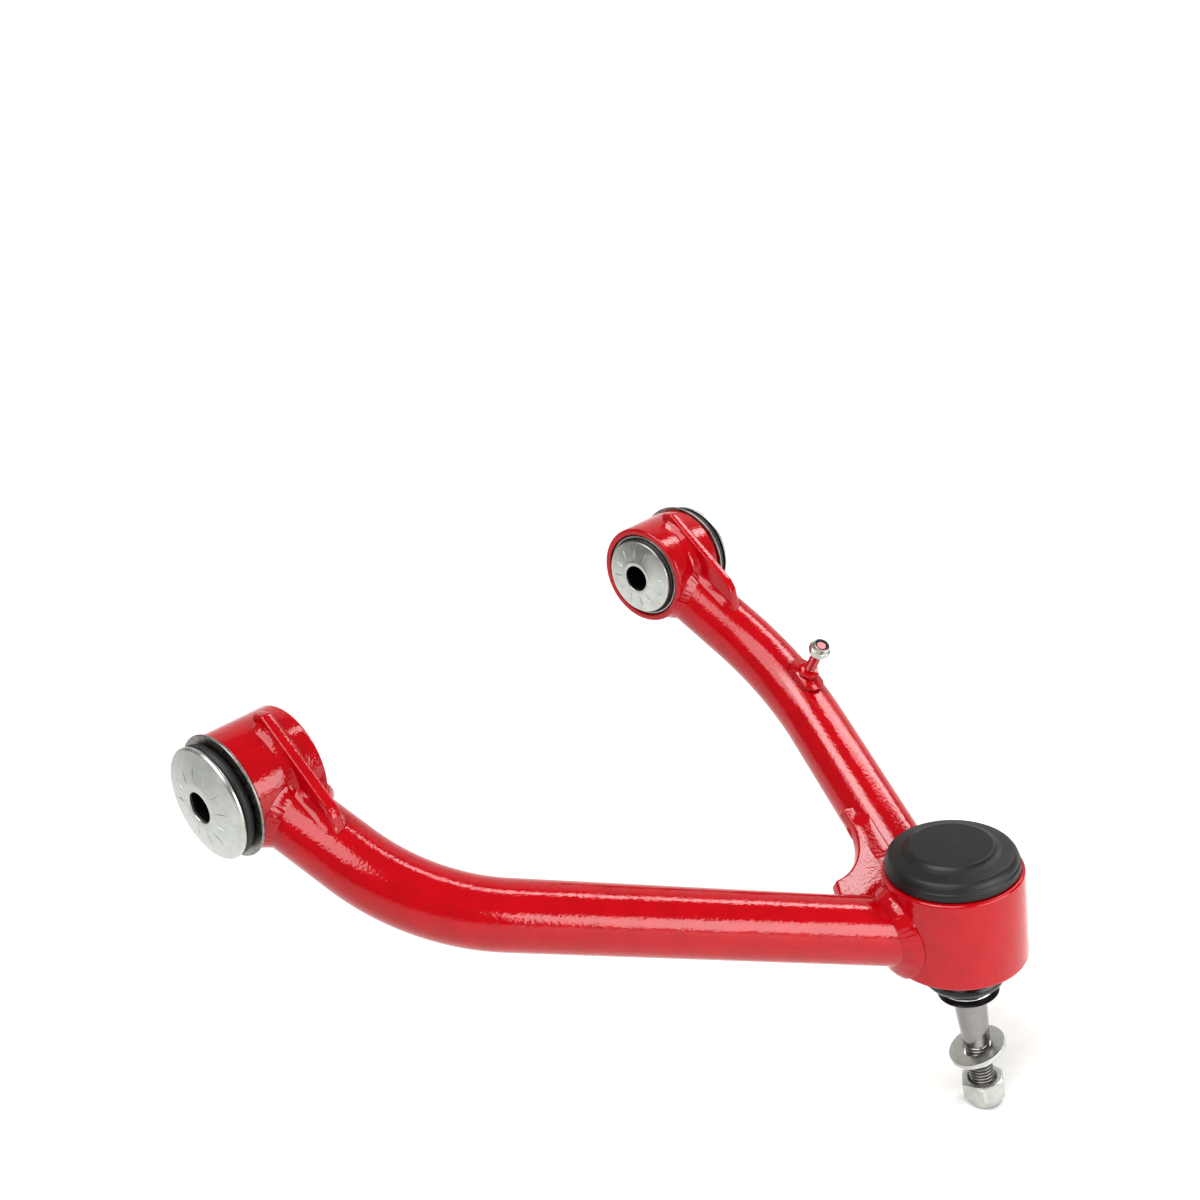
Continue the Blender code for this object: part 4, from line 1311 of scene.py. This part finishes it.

# %% [markdown]
# ## Floor and backdrop
# One roll of pale paper lies under the arm and curves up behind it, so no line shows where
# floor meets wall.

# %% Floor and backdrop
FLOOR_Z = cad_low.z - 0.0005
sweep_points = [(-3.0, 0.0), (1.6, 0.0)]
sweep_points += [(1.6 + 1.2 * math.sin(math.radians(a)), 1.2 - 1.2 * math.cos(math.radians(a)))
                 for a in range(6, 91, 6)]
sweep_points.append((2.8, 4.0))
view_out = Vector((0.66194, 0.66465, 0.0)).normalized()
view_side = Vector((view_out.y, -view_out.x, 0.0))
sweep_vertices = []
for forward, up in sweep_points:
    for across in (-4.0, 4.0):
        sweep_vertices.append(view_out * forward + view_side * across + Z * (FLOOR_Z + up))
sweep_faces = [(2 * i, 2 * i + 1, 2 * i + 3, 2 * i + 2) for i in range(len(sweep_points) - 1)]
paper, paper_tree, paper_shader = surface("matt_white_paper", "#F4F4F2", Roughness=0.85)
paper_grain = noise(paper_tree, 0.02, 3.0)
tint(paper_tree, paper_shader, paper_grain.outputs["Fac"], "#F2F2F0", "#F6F6F4")
sweep = piece("paper_sweep", sweep_vertices, sweep_faces, paper)
print("floor at", round(FLOOR_Z, 4), "m")

# %% [markdown]
# ## Lights
# A very wide sun stands for daylight bounced round a white room, and lights the floor evenly.
# Three softboxes draw the highlights: a wide one in front, for the faces that lean forward, one
# above and behind, and a narrow strip that runs a thin line along the legs. A weak white
# surround fills the shadows.

# %% Lights and surround
SUN_STRENGTH = 2.2
SUN_SPREAD = 50.0
SURROUND = 0.20
SOFTBOXES = {        # where from the arm's middle, width, height and watts
    "front_box": ((0.10, -1.25, 0.30), 1.1, 0.60, 11.0),
    "top_box": ((-0.36, 0.18, 1.10), 0.5, 0.45, 3.4),
    "side_strip": ((0.83, -0.22, 0.85), 0.20, 0.90, 4.0),
}


def softbox(name, place, target, width, height, watts):
    """A rectangular light that faces target."""
    light = bpy.data.lights.new(name, "AREA")
    light.shape = "RECTANGLE"
    light.size = width
    light.size_y = height
    light.energy = watts
    obj = linked(name, light)
    obj.location = place
    obj.rotation_mode = "QUATERNION"
    obj.rotation_quaternion = (target - place).to_track_quat("-Z", "Y")


CENTRE = (cad_low + cad_high) / 2.0
sun = bpy.data.lights.new("bounced_daylight", "SUN")
sun.energy = SUN_STRENGTH
sun.angle = math.radians(SUN_SPREAD)
sun_object = linked("bounced_daylight", sun)
sun_object.rotation_mode = "QUATERNION"
sun_from = view_side * -0.45 - view_out * 0.55 + Z * 1.0
sun_object.rotation_quaternion = (-sun_from).to_track_quat("-Z", "Y")
for box_name, (offset, width, height, watts) in SOFTBOXES.items():
    softbox(box_name, CENTRE + Vector(offset), CENTRE, width, height, watts)
world = bpy.data.worlds.new("studio")
world.use_nodes = True
world.node_tree.nodes["Background"].inputs["Color"].default_value = linear("#FFFFFF")
world.node_tree.nodes["Background"].inputs["Strength"].default_value = SURROUND
bpy.context.scene.world = world
bpy.context.scene.view_settings.view_transform = "Standard"
bpy.context.scene.view_settings.look = "Medium High Contrast"
print("lights", 1 + len(SOFTBOXES))

# %% [markdown]
# ## Camera
# The camera stands above and to the left of the ball joint and looks down by about 20 degrees,
# with a slight roll, through a lens a little longer than normal.

# %% Camera
camera = bpy.data.cameras.new("camera")
camera.lens = 42.886
camera.sensor_width = 36.0
camera.clip_start = 0.01
viewer = linked("camera", camera)
right = Vector((0.66309, -0.7348, -0.14275))
below = Vector((-0.3495, -0.13528, -0.92712))
ahead = Vector((0.66194, 0.66465, -0.34652))
pose = Matrix.Identity(4)
for column, axis in enumerate((right, -below, -ahead)):
    pose.col[column] = (*axis, 0.0)
pose.col[3] = (-0.42349, -0.51105, 0.26513, 1.0)
viewer.matrix_world = pose
bpy.context.scene.camera = viewer
print("camera", [round(v, 3) for v in viewer.location])
